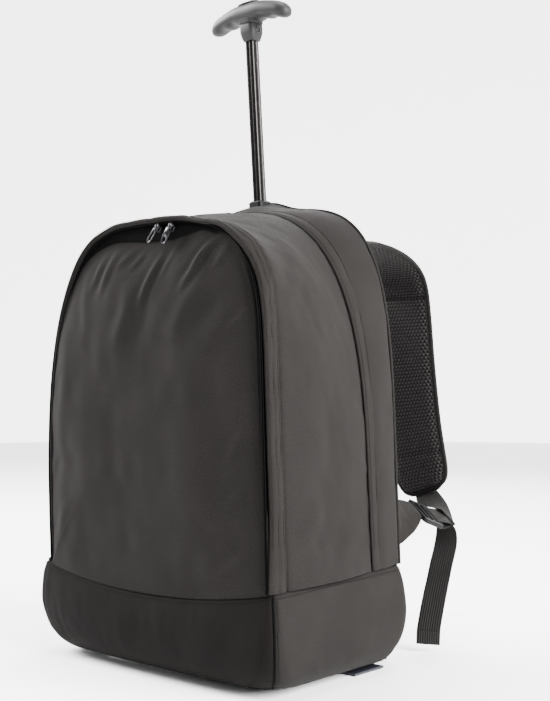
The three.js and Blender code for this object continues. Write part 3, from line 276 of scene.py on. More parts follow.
def between(front, rear, section, lift=None):
    """Grid of points between two arches: section rows are (share from front to rear, height outwards)."""
    (a, na), (b, nb) = front, rear
    share = np.array([s for s, _ in section])[None, :, None]
    out = np.array([h for _, h in section])[None, :, None]
    base = a[:, None, :] * (1 - share) + b[:, None, :] * share
    away = unit(na[:, None, :] * (1 - share) + nb[:, None, :] * share)
    if lift is not None:
        out = out + lift[..., None]
    return base + away * out


# Meshes
def to_part(points):
    return (np.asarray(points, float) + [0, ORIGIN_Y, 0]) * 0.001


def grid_quads(rows, cols, wrap):
    r, c = np.meshgrid(np.arange(rows - 1), np.arange(cols if wrap else cols - 1), indexing="ij")
    a = (r * cols + c).ravel()
    b = (r * cols + (c + 1) % cols).ravel()
    return np.stack([a, b, b + cols, a + cols], 1).tolist()


def make_mesh(name, points, faces, material, uvs=None, outward=None):
    """A mesh object in the part's frame; outward turns an open sheet's faces away from the pack's middle."""
    points = np.asarray(points, float)
    mesh = bpy.data.meshes.new(name)
    mesh.from_pydata(to_part(points).tolist(), [], faces)
    mesh.update()
    if outward is not None:
        centre = to_part(outward)
        facing = sum(float(np.dot(p.normal, np.array(p.center) - centre)) * p.area for p in mesh.polygons)
        if facing < 0:
            mesh.flip_normals()
    if uvs is not None:
        layer = mesh.uv_layers.new(name="UVMap")
        index = np.empty(len(mesh.loops), np.int32)
        mesh.loops.foreach_get("vertex_index", index)
        layer.data.foreach_set("uv", np.asarray(uvs, np.float32)[index].ravel())
    mesh.materials.append(material)
    for polygon in mesh.polygons:
        polygon.use_smooth = True
    piece = bpy.data.objects.new(name, mesh)
    bpy.context.scene.collection.objects.link(piece)
    return piece


def grid_uv(grid):
    """Lengths along and across a grid in millimetres."""
    u = np.zeros(grid.shape[:2])
    v = np.zeros(grid.shape[:2])
    u[1:] = np.cumsum(np.linalg.norm(np.diff(grid, axis=0), axis=2), axis=0)
    v[:, 1:] = np.cumsum(np.linalg.norm(np.diff(grid, axis=1), axis=2), axis=1)
    u = np.repeat(u.mean(axis=1, keepdims=True), grid.shape[1], axis=1)
    return np.stack([u, v], 2).reshape(-1, 2)


def grid_piece(name, grid, material, wrap=False, caps=False, outward=CENTRE):
    rows, cols = grid.shape[:2]
    faces = grid_quads(rows, cols, wrap)
    if caps:
        faces.append(list(range(cols))[::-1])
        faces.append(list(range((rows - 1) * cols, rows * cols)))
    closed = wrap and caps
    piece = make_mesh(name, grid.reshape(-1, 3), faces, material, grid_uv(grid), None if closed else outward)
    if closed:
        face_out(piece)
    return piece


def solid_grid(name, grid, material):
    """A closed piece from rings of points, with both ends capped."""
    return grid_piece(name, grid, material, wrap=True, caps=True)


def fan_sheet(name, peak, rings, material):
    """An open sheet of rings round one middle point."""
    points = np.vstack([[peak], rings.reshape(-1, 3)])
    cols = rings.shape[1]
    faces = [[0, 1 + (c + 1) % cols, 1 + c] for c in range(cols)]
    faces += [[v + 1 for v in quad] for quad in grid_quads(rings.shape[0], cols, True)]
    return make_mesh(name, points, faces, material, points[:, [0, 2]], CENTRE)


def face_out(piece):
    """Turns a closed piece's faces outwards by the sign of its volume."""
    mesh = piece.data
    mesh.calc_loop_triangles()
    co = np.empty(len(mesh.vertices) * 3)
    mesh.vertices.foreach_get("co", co)
    co = co.reshape(-1, 3)
    tri = np.empty(len(mesh.loop_triangles) * 3, np.int32)
    mesh.loop_triangles.foreach_get("vertices", tri)
    a, b, c = (co[tri.reshape(-1, 3)[:, k]] for k in range(3))
    if np.einsum("ij,ij->i", a, np.cross(b, c)).sum() < 0:
        mesh.flip_normals()


def add_thickness(piece, wall):
    solid = piece.modifiers.new("thickness", "SOLIDIFY")
    solid.thickness = wall * 0.001
    solid.offset = -1


def add_bevel(piece, width, segments=2):
    bevel = piece.modifiers.new("edges", "BEVEL")
    bevel.width = width * 0.001
    bevel.segments = segments
    bevel.limit_method = "ANGLE"
    bevel.angle_limit = math.radians(32)
    bevel.harden_normals = True


def settle(piece, body="pack", stands_for=()):
    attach(piece, body)
    if stands_for:
        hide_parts(*stands_for)
    return piece


def swept(path, side, up, section):
    """Rings of a section carried along a path; side and up are its local axes."""
    path = np.asarray(path, float)
    section = np.asarray(section, float)
    if section.ndim == 2:
        section = np.broadcast_to(section, (len(path),) + section.shape)
    return (path[:, None, :] + section[..., 0:1] * side[:, None, :] + section[..., 1:2] * up[:, None, :])


def cross_axes(path, side):
    """Axes square to the path, from a wanted side direction for each point."""
    run = tangents(path)
    up = unit(np.cross(run, side))
    return unit(np.cross(up, run)), up


def round_section(width, thick, corner, steps=5):
    """Closed outline of a rounded bar."""
    corner = min(corner, width / 2 - 0.01, thick / 2 - 0.01)
    points = []
    for k, (cx, cy) in enumerate([(1, -1), (1, 1), (-1, 1), (-1, -1)]):
        for i in range(steps + 1):
            a = (k - 1 + i / steps) * math.pi / 2
            points.append((cx * (width / 2 - corner) + corner * math.cos(a),
                           cy * (thick / 2 - corner) + corner * math.sin(a)))
    return np.array(points)


def tube(name, path, radius, material, sides=10, side=(0, 0, 1), flat=1.0):
    path = np.asarray(path, float)
    across, up = cross_axes(path, np.broadcast_to(np.asarray(side, float), path.shape))
    a = np.linspace(0, 2 * math.pi, sides, endpoint=False)
    section = np.stack([radius * np.cos(a), radius * flat * np.sin(a)], 1)
    return solid_grid(name, swept(path, across, up, section), material)


def bars(name, centres, axes, rings, material):
    """Small round bars in one mesh; a row of rings is (place along the bar, share of its radius)."""
    along, across, up = axes
    corners = [(math.cos(a), math.sin(a)) for a in np.linspace(0, 2 * math.pi, 6, endpoint=False)]
    points = []
    for place, wide in rings:
        points += [centres + along * place + (across * cx + up * cy) * wide for cx, cy in corners]
    local = grid_quads(len(rings), len(corners), True)
    size = len(points)
    faces = [[v + k * size for v in quad] for k in range(len(centres)) for quad in local]
    return make_mesh(name, np.stack(points, 1).reshape(-1, 3), faces, material)


def stitch_row(name, path, away, material, pitch, length):
    """A row of single stitches lying along a path on a surface."""
    path = np.asarray(path, float)
    away = unit(np.broadcast_to(np.asarray(away, float), path.shape))
    count = max(2, int(path_length(path) / pitch))
    joined = resample(np.hstack([path, away]), count * 2 + 1)
    normals = unit(joined[1::2, 3:])
    run = unit(joined[2::2, :3] - joined[0:-1:2, :3])
    side = unit(np.cross(run, normals))
    axes = (run * length, side * STITCH_RADIUS, normals * STITCH_RADIUS * 0.8)
    return bars(name, joined[1::2, :3] + normals * STITCH_RISE, axes, STITCH_RINGS, material)


def join(name, *pieces):
    """One object from several that share a look."""
    bpy.ops.object.select_all(action="DESELECT")
    for piece in pieces:
        piece.select_set(True)
    bpy.context.view_layer.objects.active = pieces[0]
    bpy.ops.object.join()
    pieces[0].name = name
    pieces[0].data.name = name
    pieces[0].select_set(False)
    return pieces[0]


# Materials
class Look:
    """A Principled material and short calls for the nodes that feed it."""

    def __init__(self, name, colour, roughness, metallic=0.0, **sockets):
        self.material = bpy.data.materials.new(name)
        self.material.use_nodes = True
        self.tree = self.material.node_tree
        self.shader = self.tree.nodes["Principled BSDF"]
        self.shader.inputs["Base Color"].default_value = (*colour, 1)
        self.shader.inputs["Roughness"].default_value = roughness
        self.shader.inputs["Metallic"].default_value = metallic
        for key, value in sockets.items():
            self.shader.inputs[key.replace("_", " ")].default_value = value

    def node(self, kind, **settings):
        made = self.tree.nodes.new(kind)
        for key, value in settings.items():
            if key[0].isupper():
                made.inputs[key.replace("_", " ")].default_value = value
            else:
                setattr(made, key, value)
        return made

    def link(self, a, b):
        self.tree.links.new(a, b)

    def place(self, kind="Object", scale=(1000, 1000, 1000)):
        """Coordinates in millimetres, either of the object or of the sheet's own lengths."""
        coords = self.node("ShaderNodeTexCoord")
        mapping = self.node("ShaderNodeMapping", Scale=scale if kind == "Object" else (1, 1, 1))
        self.link(coords.outputs[kind], mapping.inputs["Vector"])
        return mapping.outputs["Vector"]

    def noise(self, place, size, detail=3.0, rough=0.55):
        made = self.node("ShaderNodeTexNoise", Scale=1.0 / size, Detail=detail, Roughness=rough)
        self.link(place, made.inputs["Vector"])
        return made.outputs["Fac"]

    def waves(self, place, pitch, turn):
        """Sine ridges of a pitch across a direction, between -1 and 1."""
        dot = self.node("ShaderNodeVectorMath", operation="DOT_PRODUCT")
        dot.inputs[1].default_value = [2 * math.pi / pitch * share for share in turn]
        self.link(place, dot.inputs[0])
        return self.math("SINE", dot.outputs["Value"])

    def math(self, operation, a, b=None):
        made = self.node("ShaderNodeMath", operation=operation)
        for k, value in enumerate([a, b]):
            if value is None:
                continue
            if isinstance(value, (int, float)):
                made.inputs[k].default_value = value
            else:
                self.link(value, made.inputs[k])
        return made.outputs[0]

    def ramp(self, value, low, high, from_min=0.0, from_max=1.0):
        made = self.node("ShaderNodeMapRange", From_Min=from_min, From_Max=from_max, To_Min=low, To_Max=high)
        self.link(value, made.inputs["Value"])
        return made.outputs["Result"]

    def tint(self, value, dark, light):
        """Base colour between two tones by a value."""
        made = self.node("ShaderNodeMix", data_type="RGBA")
        made.inputs[6].default_value = (*dark, 1)
        made.inputs[7].default_value = (*light, 1)
        self.link(value, made.inputs[0])
        self.link(made.outputs[2], self.shader.inputs["Base Color"])

    def roughen(self, value, *span):
        self.link(self.ramp(value, *span), self.shader.inputs["Roughness"])

    def bump(self, height, strength, distance):
        made = self.node("ShaderNodeBump", Strength=strength, Distance=distance * 0.001)
        self.link(height, made.inputs["Height"])
        self.link(made.outputs["Normal"], self.shader.inputs["Normal"])


def shade(colour, factor):
    return tuple(min(1.0, c * factor) for c in colour)


def weave_look(name, colour, pitch=0.85, speckle=0.16, sheen=0.25, roughness=0.78):
    """Coated plain weave: fine yarns, a speckle of lighter and darker yarns and slow blotches; the speckle
    is partly random yarn tone and partly painted glints of yarns catching the light.
    """
    look = Look(name, colour, roughness, Sheen_Weight=sheen, Sheen_Roughness=0.45, Specular_IOR_Level=0.012)
    place = look.place("UV")
    grain = look.noise(place, 1.15, 2.0, 0.7)
    slow = look.noise(place, 55.0, 2.0, 0.5)
    warp = look.waves(place, pitch, (1, 0, 0.25))
    weft = look.waves(place, pitch, (0, 1, 0.9))
    yarn = look.math("MULTIPLY", warp, weft)
    # Base colour: random yarn tone with painted glints of catching yarns, slow blotches and the weave's
    # crossings.
    tone = look.math("ADD", look.ramp(grain, 0.5 - 3 * speckle, 0.5 + 3 * speckle, 0.3, 0.7),
                     look.ramp(slow, -0.12, 0.12, 0.3, 0.7))
    tone = look.math("ADD", tone, look.math("MULTIPLY", yarn, 0.10))
    tone = look.math("MINIMUM", look.math("MAXIMUM", tone, 0.0), 1.0)
    look.tint(tone, shade(colour, 0.6), shade(colour, 1.45))
    height = look.math("ADD", look.math("MULTIPLY", yarn, 0.5), look.math("MULTIPLY", grain, 0.9))
    look.bump(height, 0.35, 0.32)
    look.roughen(grain, roughness - 0.08, roughness + 0.1)
    return look.material


def webbing_look(name, colour, rib=2.4):
    """Ribbed tape: fine ribs along its length, painted lighter on their crests and darker in their grooves
    as painted light and shade, with a herringbone of yarns.
    """
    look = Look(name, colour, 0.72, Sheen_Weight=0.01, Specular_IOR_Level=0.05)
    place = look.place("UV")
    ribs = look.waves(place, rib, (0, 1, 0))
    twill = look.waves(place, 1.1, (0.7, 0.7, 0))
    grain = look.noise(place, 1.0, 2.0)
    # Painted light and shade: the ribs' crests are painted lighter and the grooves between them darker.
    tone = look.math("ADD", look.ramp(ribs, 0.25, 0.6, -1, 1), look.ramp(grain, -0.25, 0.25, 0.3, 0.7))
    look.tint(tone, shade(colour, 0.35), shade(colour, 1.9))
    height = look.math("ADD", look.math("MULTIPLY", ribs, 0.8), look.math("MULTIPLY", twill, 0.2))
    look.bump(height, 0.7, 0.5)
    return look.material


def mesh_look(name, colour, cell=3.8):
    """Spacer mesh: a grid of small six-sided holes, painted dark inside as painted shade in the cells."""
    look = Look(name, colour, 0.85, Sheen_Weight=0.01, Specular_IOR_Level=0.04)
    place = look.place("UV")
    waves = [look.waves(place, cell, d) for d in [(1, 0, 0), (-0.5, 0.866, 0), (-0.5, -0.866, 0)]]
    cells = look.math("ADD", look.math("ADD", waves[0], waves[1]), waves[2])
    grain = look.noise(place, 0.8, 2.0)
    # Painted shade: the base colour darkens where the cells' bump is lowest, inside the holes.
    hole = look.ramp(cells, 0.0, 1.0, -0.9, 1.6)
    tone = look.math("ADD", look.math("MULTIPLY", hole, 0.9), look.ramp(grain, -0.15, 0.15, 0.3, 0.7))
    look.tint(tone, shade(colour, 0.25), shade(colour, 1.9))
    look.bump(cells, 0.6, 0.5)
    return look.material


def plastic_look(name, colour, roughness=0.45, grain_size=0.5, depth=0.05, coat=0.0, gloss=0.28):
    """Moulded plastic with a fine spark-eroded grain and slightly uneven gloss."""
    look = Look(name, colour, roughness, Coat_Weight=coat, Specular_IOR_Level=gloss)
    place = look.place()
    grain = look.noise(place, grain_size, 3.0, 0.6)
    slow = look.noise(place, 18.0, 2.0)
    look.tint(look.ramp(slow, 0.3, 0.7), shade(colour, 0.92), shade(colour, 1.08))
    look.roughen(slow, roughness - 0.05, roughness + 0.07)
    look.bump(grain, 0.35, depth)
    return look.material


def metal_look(name, colour, roughness=0.25, scratch=(1, 1, 0.02)):
    """Plated or drawn metal: fine scratches along one way and a little smudging."""
    look = Look(name, colour, roughness, metallic=1.0)
    place = look.place("Object", tuple(1000 * s for s in scratch))
    lines = look.noise(place, 0.35, 4.0, 0.6)
    smudge = look.noise(look.place(), 9.0, 2.0)
    look.tint(look.ramp(smudge, 0.3, 0.7), shade(colour, 0.88), shade(colour, 1.12))
    look.roughen(lines, roughness - 0.08, roughness + 0.12, 0.3, 0.7)
    look.bump(lines, 0.04, 0.02)
    return look.material


def rubber_look(name, colour):
    look = Look(name, colour, 0.82, Specular_IOR_Level=0.1)
    place = look.place()
    grain = look.noise(place, 1.2, 3.0)
    look.tint(look.ramp(grain, 0.2, 0.8), shade(colour, 0.7), shade(colour, 1.5))
    look.bump(grain, 0.3, 0.15)
    return look.material


WEAVE = weave_look("grey_weave", (0.0082, 0.0076, 0.0073), speckle=0.26, sheen=0.02)
BASE_WEAVE = weave_look("base_weave", (0.0042, 0.0037, 0.0036), 0.7, speckle=0.12, sheen=0.01, roughness=0.6)
BINDING = weave_look("binding_tape", (0.0060, 0.0057, 0.0056), 0.9, speckle=0.08, sheen=0.04)
TAPE = weave_look("zip_tape", (0.0016, 0.0016, 0.0017), 0.8, speckle=0.05, sheen=0.0, roughness=0.7)
COIL = plastic_look("zip_coil", (0.0016, 0.0016, 0.0017), 0.6, 0.6, 0.04, gloss=0.03)
THREAD = plastic_look("thread_dark", (0.0040, 0.0035, 0.0032), 0.7, 0.4, 0.1, gloss=0.02)
THREAD_GREY = plastic_look("thread_grey", (0.016, 0.015, 0.0148), 0.7, 0.4, 0.1, gloss=0.03)
MESH = mesh_look("spacer_mesh", (0.0115, 0.0106, 0.0106))
WEB = webbing_look("webbing", (0.0075, 0.0072, 0.0070))
PLASTIC = plastic_look("black_plastic", (0.0040, 0.0040, 0.0044), 0.5, 0.6, 0.06, gloss=0.07)
GRIP = plastic_look("grip_grey", (0.0112, 0.0112, 0.0118), 0.5, 0.5, 0.05, gloss=0.14)
BUTTON = plastic_look("button_black", (0.0060, 0.0060, 0.0066), 0.35, 0.6, 0.04, coat=0.1)
NICKEL = metal_look("black_nickel", (0.017, 0.017, 0.019), 0.24, (1, 1, 1))
STEEL = metal_look("zinc_steel", (0.55, 0.55, 0.57), 0.3, (0.05, 1, 1))
POLE = metal_look("dark_pole", (0.014, 0.013, 0.013), 0.26)
RUBBER = rubber_look("tyre_rubber", (0.0060, 0.0060, 0.0060))


def sew(name, path, away, pitch=3.2, length=2.5, thread=THREAD):
    settle(stitch_row(name, path, away, thread, pitch, length))

# Camera at the photograph's view
CAMERA_PLACE = (832.0, -841.0, 276.7)
CAMERA_TURN = 42.0
FOCAL_PIXELS = 1133.0
IMAGE_LONG = 701.0
HORIZON_BELOW = 41.5
BACKDROP_REACH = 5200.0
BACKDROP_GLOW = 2.2


def make_camera():
    data = bpy.data.cameras.new("camera")
    data.sensor_width = 36.0
    data.lens = 36.0 * FOCAL_PIXELS / IMAGE_LONG
    data.shift_y = HORIZON_BELOW / IMAGE_LONG
    data.clip_start = 0.05
    data.clip_end = 30.0
    camera = bpy.data.objects.new("camera", data)
    camera.location = to_part(CAMERA_PLACE)
    camera.rotation_euler = (math.radians(90), 0, math.radians(CAMERA_TURN))
    bpy.context.scene.collection.objects.link(camera)
    bpy.context.scene.camera = camera


LIGHTS = [
    dict(name="left", place=(-2100, -860, 2050), size=1.4, power=480.0, colour=(1.0, 0.99, 0.98)),
    dict(name="right", place=(2300, 260, 1300), size=1.6, power=520.0, colour=(1.0, 0.985, 0.975)),
    dict(name="top", place=(0, 100, 2400), size=1.2, power=80.0, colour=(1.0, 1.0, 1.0)),
    dict(name="rear", place=(-900, 1900, 1500), size=1.2, power=60.0, colour=(0.97, 0.98, 1.0)),
]


def make_lights():
    for spec in LIGHTS:
        data = bpy.data.lights.new(spec["name"], "AREA")
        data.energy = spec["power"]
        data.size = spec["size"]
        data.color = spec["colour"]
        lamp = bpy.data.objects.new(spec["name"], data)
        place = to_part(spec["place"])
        lamp.location = place
        aim = to_part((0, 0, 260)) - place
        lamp.rotation_mode = "QUATERNION"
        lamp.rotation_quaternion = Vector(aim).to_track_quat("-Z", "Y")
        bpy.context.scene.collection.objects.link(lamp)
    world = bpy.data.worlds.new("studio")
    world.use_nodes = True
    world.node_tree.nodes["Background"].inputs["Color"].default_value = (1.0, 1.0, 1.0, 1)
    world.node_tree.nodes["Background"].inputs["Strength"].default_value = 0.85
    bpy.context.scene.world = world


def make_floor():
    look = Look("floor_white", (0.9, 0.9, 0.9), 0.85)
    place = look.place()
    look.tint(look.noise(place, 400.0, 2.0), (0.80, 0.80, 0.80), (0.84, 0.84, 0.84))
    size = 9000.0
    floor = make_mesh("floor", [(-size, -size, 0), (size, -size, 0), (size, size, 0), (-size, size, 0)],
                      [[0, 1, 2, 3]], look.material)
    glow = Look("backdrop_white", (0.9, 0.9, 0.9), 0.9, Emission_Strength=BACKDROP_GLOW)
    glow.shader.inputs["Emission Color"].default_value = (1, 1, 1, 1)
    middle = math.radians(CAMERA_TURN + 90)
    turn = np.linspace(middle - 1.1, middle + 1.1, 40)
    rows = [np.column_stack([BACKDROP_REACH * np.cos(turn), BACKDROP_REACH * np.sin(turn), np.full(40, z)])
            for z in (0.0, 1500.0, 4500.0)]
    grid_piece("backdrop", np.stack(rows), glow.material, outward=None)


# Front panel's edge: (share along the arch, inset from it)
PANEL_EDGE = [
    (0.0, -0.6), (0.1, -1.6), (0.25, -1.2), (0.33, 0.4), (0.40, 4.0), (0.445, 12.0), (0.478, 16.0),
    (0.51, 19.0), (0.567, 21.0), (0.59, 18.5), (0.612, 12.0), (0.635, 6.5), (0.66, 3.0), (0.69, 1.5),
    (0.715, 2.5), (0.74, 6.5), (0.775, 8.0), (0.83, 7.5), (0.9, 6.5), (0.95, 3.5), (1.0, 1.0),
]
# Its folds: (crest through x and z, width, height)
PANEL_FOLDS = [
    ([(12, 360), (22, 378), (42, 408)], 3.4, 2.6),
    ([(-46, 372), (-33, 398), (-22, 416)], 3.6, 2.2),
    ([(-62, 378), (-50, 398), (-40, 412)], 3.2, 1.7),
    ([(-24, 396), (-8, 408), (4, 417)], 2.6, 1.4),
    ([(-5, 392), (10, 405), (18, 414)], 2.4, 1.2),
    ([(70, 372), (86, 388), (104, 412)], 3.4, 2.6),
    ([(84, 392), (102, 408), (120, 420)], 3.0, 2.0),
    ([(112, 388), (122, 402), (126, 414)], 3.2, 1.8),
    ([(40, 384), (52, 400), (62, 412)], 3.0, 1.0),
    ([(-22, 322), (-8, 350), (0, 385)], 7.0, 1.9),
    ([(6, 318), (16, 345), (26, 372)], 9.0, -1.9),
    ([(-70, 330), (-72, 372), (-64, 400)], 7.0, 1.4),
    ([(58, 332), (76, 356), (92, 378)], 8.0, 1.6),
    ([(84, 330), (104, 352), (126, 372)], 9.0, -1.8),
    ([(-118, 150), (-116, 240), (-100, 330)], 11.0, 1.6),
    ([(-20, 120), (-26, 200), (-22, 280)], 26.0, -1.2),
    ([(100, 140), (112, 220), (108, 300)], 16.0, -2.2),
    ([(126, 332), (140, 340), (150, 352)], 4.0, 1.8),
    ([(122, 218), (138, 232), (149, 250)], 4.5, 1.9),
    ([(118, 172), (134, 182), (149, 192)], 4.0, 2.0),
    ([(98, 106), (122, 118), (148, 130)], 5.0, 1.7),
    ([(60, 98), (92, 112), (116, 134)], 7.0, 1.2),
    ([(-140, 112), (-124, 132), (-112, 160)], 6.0, 1.4),
    ([(-146, 190), (-134, 204), (-122, 214)], 5.0, 1.0),
    ([(-136, 288), (-122, 300), (-108, 306)], 5.0, 0.9),
]
# Its rolled hem: (step outwards, step back)
PANEL_ROLL = [(0.5, 0.5), (0.7, 1.4), (0.2, 2.4), (-2.0, 3.0)]
PANEL_RINGS = 56
PANEL_SEAM_POINTS = 120
FOLD_GAIN = 0.85


def front_plane_y(z):
    return FRONT_Y + PANEL_RECESS - ARCHES["rim"]["lean"] * z


def seam_dome(x):
    return 0.5 * PANEL_DOME * (1 - np.minimum(1, np.abs(x) / HALF_WIDTH) ** 4)


def panel_boundary():
    count = 2 * (SIDE_STEPS + CURVE_STEPS) + 1
    share = np.linspace(0, 1, count)
    inset = np.interp(share, *zip(*PANEL_EDGE))
    inset = np.convolve(np.pad(inset, 4, mode="edge"), np.ones(9) / 9, mode="valid")
    arch, _ = arch_line("rim", inset)
    arch[:, 2] += 0.9 * smooth_noise(5, 34, 1, share, 0 * share) * np.clip((arch[:, 2] - 330) / 60, 0, 1)
    x = np.linspace(arch[-1, 0], arch[0, 0], PANEL_SEAM_POINTS + 2)[1:-1]
    seam = np.stack([x, 0 * x, front_seam_height(x) + 0.9], 1)
    return np.vstack([arch, seam]), np.concatenate([np.zeros(len(arch)), seam_dome(x)])


def panel_height(x, z):
    height = np.zeros(np.shape(x))
    for line, width, rise in PANEL_FOLDS:
        height += FOLD_GAIN * ridge(x, z, line, width, rise)
    u, v = (x + 170) / 340, (z - 80) / 370
    return height + hills(u, v, (1.7, 11, 7, 6), (0.6, 12, 22, 15))


def front_panel():
    edge, edge_dome = panel_boundary()
    middle = 0.5 * (SEAM_HEIGHT + ARCHES["rim"]["top"] * BODY_HEIGHT)
    t = 1 - (1 - np.linspace(0, 1, PANEL_RINGS + 1)[1:, None]) ** 1.35
    x = edge[:, 0] * t
    z = middle + (edge[:, 2] - middle) * t
    dome = PANEL_DOME + (edge_dome - PANEL_DOME) * t ** 4.5
    y = front_plane_y(z) - dome - panel_height(x, z) * (1 - t ** 14)
    rings = np.stack([x, y, z], 2)
    count = len(edge) - PANEL_SEAM_POINTS
    hem = (np.arange(len(edge)) < count)[:, None]
    outwards = unit((rings[-1] - [0, 0, middle]) * [1, 0, 1])
    rolled = [rings[-1] + (outwards * out + [0, back, 0]) * hem for out, back in PANEL_ROLL]
    peak = [0, front_plane_y(middle) - PANEL_DOME - float(panel_height(0.0, middle)), middle]
    piece = fan_sheet("front_panel_cloth", peak, np.concatenate([rings, rolled]), WEAVE)
    add_thickness(piece, 1.2)
    settle(piece, stands_for=("front_panel",))
    top = rings[-1, int(0.4 * count):int(0.67 * count)]
    drop = top + (np.array([0, 0, middle]) - top) * [0.006, 0, 0.009]
    sew("front_panel_hem_stitches", drop + [0, -1.1, 0], (0, -1, 0), 2.6, 1.8)


# Front flap's section: (share from front to rear, height outwards)
FLAP_SECTION = [
    (1.0, -1.9), (0.985, -0.9), (0.96, 0.2), (0.92, 0.9), (0.86, 1.0), (0.82, 0.8), (0.77, 1.3), (0.66, 1.9),
    (0.52, 1.7), (0.45, 1.3), (0.38, 1.7), (0.26, 1.9), (0.15, 1.6), (0.07, 1.0), (0.015, 0.1),
    (-0.015, -0.8), (-0.01, -1.7), (0.04, -2.5), (0.2, -2.9), (0.5, -2.6), (0.8, -2.6), (1.0, -3.0),
]


def flap_lines():
    """Front and rear arches of the flap, proud on the right and tucked behind the panel on the left."""
    front, front_away = arch_line("rim")
    rear, rear_away = arch_line("seam")
    count = len(front)
    share = np.linspace(0, 1, count)
    tuck = np.interp(share, [0, 0.34, 0.43, 0.5, 1], [4.2, 4.0, 0.8, 0, 0])
    front = front - front_away * tuck[:, None]
    proud = np.interp(share, [0, 0.36, 0.5, 0.6, 1], [-1.5, 0.5, 2.0, FLAP_PROUD, FLAP_PROUD])
    front[:, 1] -= proud
    curl = np.exp(-((share - 0.672) / 0.020) ** 2) - 0.8 * np.exp(-((share - 0.632) / 0.018) ** 2)
    front = front + front_away * (2.2 * curl)[:, None]
    front[:, 1] -= 2.0 * np.abs(curl)
    set_back = np.interp(share, [0, 0.60, 0.68, 0.76, 0.96, 1], [0, 0, 0.10, 0.30, 0.34, 0.2])[:, None]
    front = front * (1 - set_back) + rear * set_back
    return (front, front_away), (rear, rear_away), share


def front_flap():
    front, rear, share = flap_lines()
    v = np.linspace(0, 1, len(FLAP_SECTION))
    height = np.array([h for _, h in FLAP_SECTION])
    lift = hills(share[:, None], v[None, :], (0.5, 21, 60, 2), (0.35, 22, 150, 1))
    lift *= np.where(height > 0, 1.0, 0.3)
    flatten = np.interp(share, [0, 0.32, 0.43], [0.9, 0.9, 0.0])[:, None]
    lift -= flatten * (np.maximum(height, 0) + 0.9)
    piece = solid_grid("front_flap_cloth", between(front, rear, FLAP_SECTION, lift), WEAVE)
    settle(piece, stands_for=("front_flap",))
    for k, row in enumerate([(0.83, 0.95), (0.45, 1.4), (0.09, 1.25)]):
        line = between(front, rear, [row])[:, 0]
        sew(f"front_flap_stitches_{k}", line[6:-6], front[1][6:-6], 3.0, 2.2)


# Zips
def front_recess():
    """Dark tape behind the pocket's edge, a dark sheet under the flap as painted shade in its recess, and
    the closed coil that runs along it.
    """
    depths = [(1.6, 1.5), (3.0, 3.6), (8.0, 4.6), (16.0, 5.2), (30.0, 6.5)]
    grid = np.stack([arch_line("rim", inset)[0] + [0, back, 0] for inset, back in depths], 1)
    tape = grid_piece("front_zip_tape", grid, TAPE, outward=None)
    add_thickness(tape, 0.6)
    # Painted shade: a dark sheet of zip-tape cloth under the flap fills the recess where shade falls.
    under_flap_shade_rows = [(0.0, -2.2), (0.15, -3.2), (0.35, -4.0), (0.6, -4.2), (0.95, -4.2)]
    under_flap_shade = grid_piece("front_flap_shade_sheet", between(arch_line("rim"), arch_line("seam"), under_flap_shade_rows), TAPE)
    add_thickness(under_flap_shade, 0.5)
    settle(under_flap_shade)
    settle(tape, stands_for=("front_zip",))
    coil_along("front_zip_coil", arch_line("rim", 8.0)[0] + [0, 3.6, 0], (0, -1, 0))


def coil_along(name, path, away):
    """Closed zip coil: two interlocked rows of short cross bars."""
    away = unit(np.broadcast_to(np.asarray(away, float), path.shape))
    joined = resample(np.hstack([path, away]), int(path_length(path) / COIL_PITCH))
    centres, normals = joined[:, :3], unit(joined[:, 3:])
    run = tangents(centres)
    side = unit(np.cross(run, normals))
    stagger = np.where(np.arange(len(centres)) % 2, COIL_STAGGER, -COIL_STAGGER)[:, None]
    coil = bars(name, centres + side * stagger, (side, run * 0.42, normals * 0.6), COIL_RINGS, COIL)
    settle(coil)


def main_zip():
    """Tape and coil sunk between the two gussets."""
    line, away = arch_line("zip", 2.4)
    section = [(-5.5, -0.6), (-3.4, -0.2), (-1.2, 0.0), (1.2, 0.0), (3.4, -0.2), (5.5, -0.6)]
    grid = np.stack([line + away * out + [0, y, 0] for y, out in section], 1)
    tape = grid_piece("main_zip_tape", grid, TAPE)
    add_thickness(tape, 0.6)
    settle(tape, stands_for=("main_zip",))
    coil_along("main_zip_coil", line + away * 0.5, away)


# Side walls' folds: (crest through shares of the depth and z, width, height)
GUSSET_SPAN = 125.0
GUSSET_FOLDS = [
    ([(0.16, 118), (0.3, 124), (0.46, 116)], 5.0, 1.3),
    ([(0.10, 128), (0.22, 150), (0.42, 176)], 7.0, 1.5),
    ([(0.55, 120), (0.72, 138), (0.9, 150)], 8.0, 1.3),
    ([(0.14, 300), (0.3, 318), (0.5, 322)], 9.0, 0.9),
    ([(0.5, 230), (0.7, 250), (0.9, 252)], 12.0, 0.9),
    ([(0.1, 352), (0.26, 372), (0.42, 398)], 6.0, 1.0),
    ([(0.3, 180), (0.5, 206), (0.62, 240)], 14.0, -1.1),
]


def gusset_folds(z, share):
    """Height of the soft folds of both side walls; share runs from front to rear."""
    lift = np.zeros(z.shape)
    for line, width, rise in GUSSET_FOLDS:
        points = [(s * GUSSET_SPAN, h) for s, h in line]
        lift += ridge(share[None, :] * GUSSET_SPAN + 0 * z, z, points, width, rise)
    return lift * np.clip((440 - z) / 60, 0, 1)


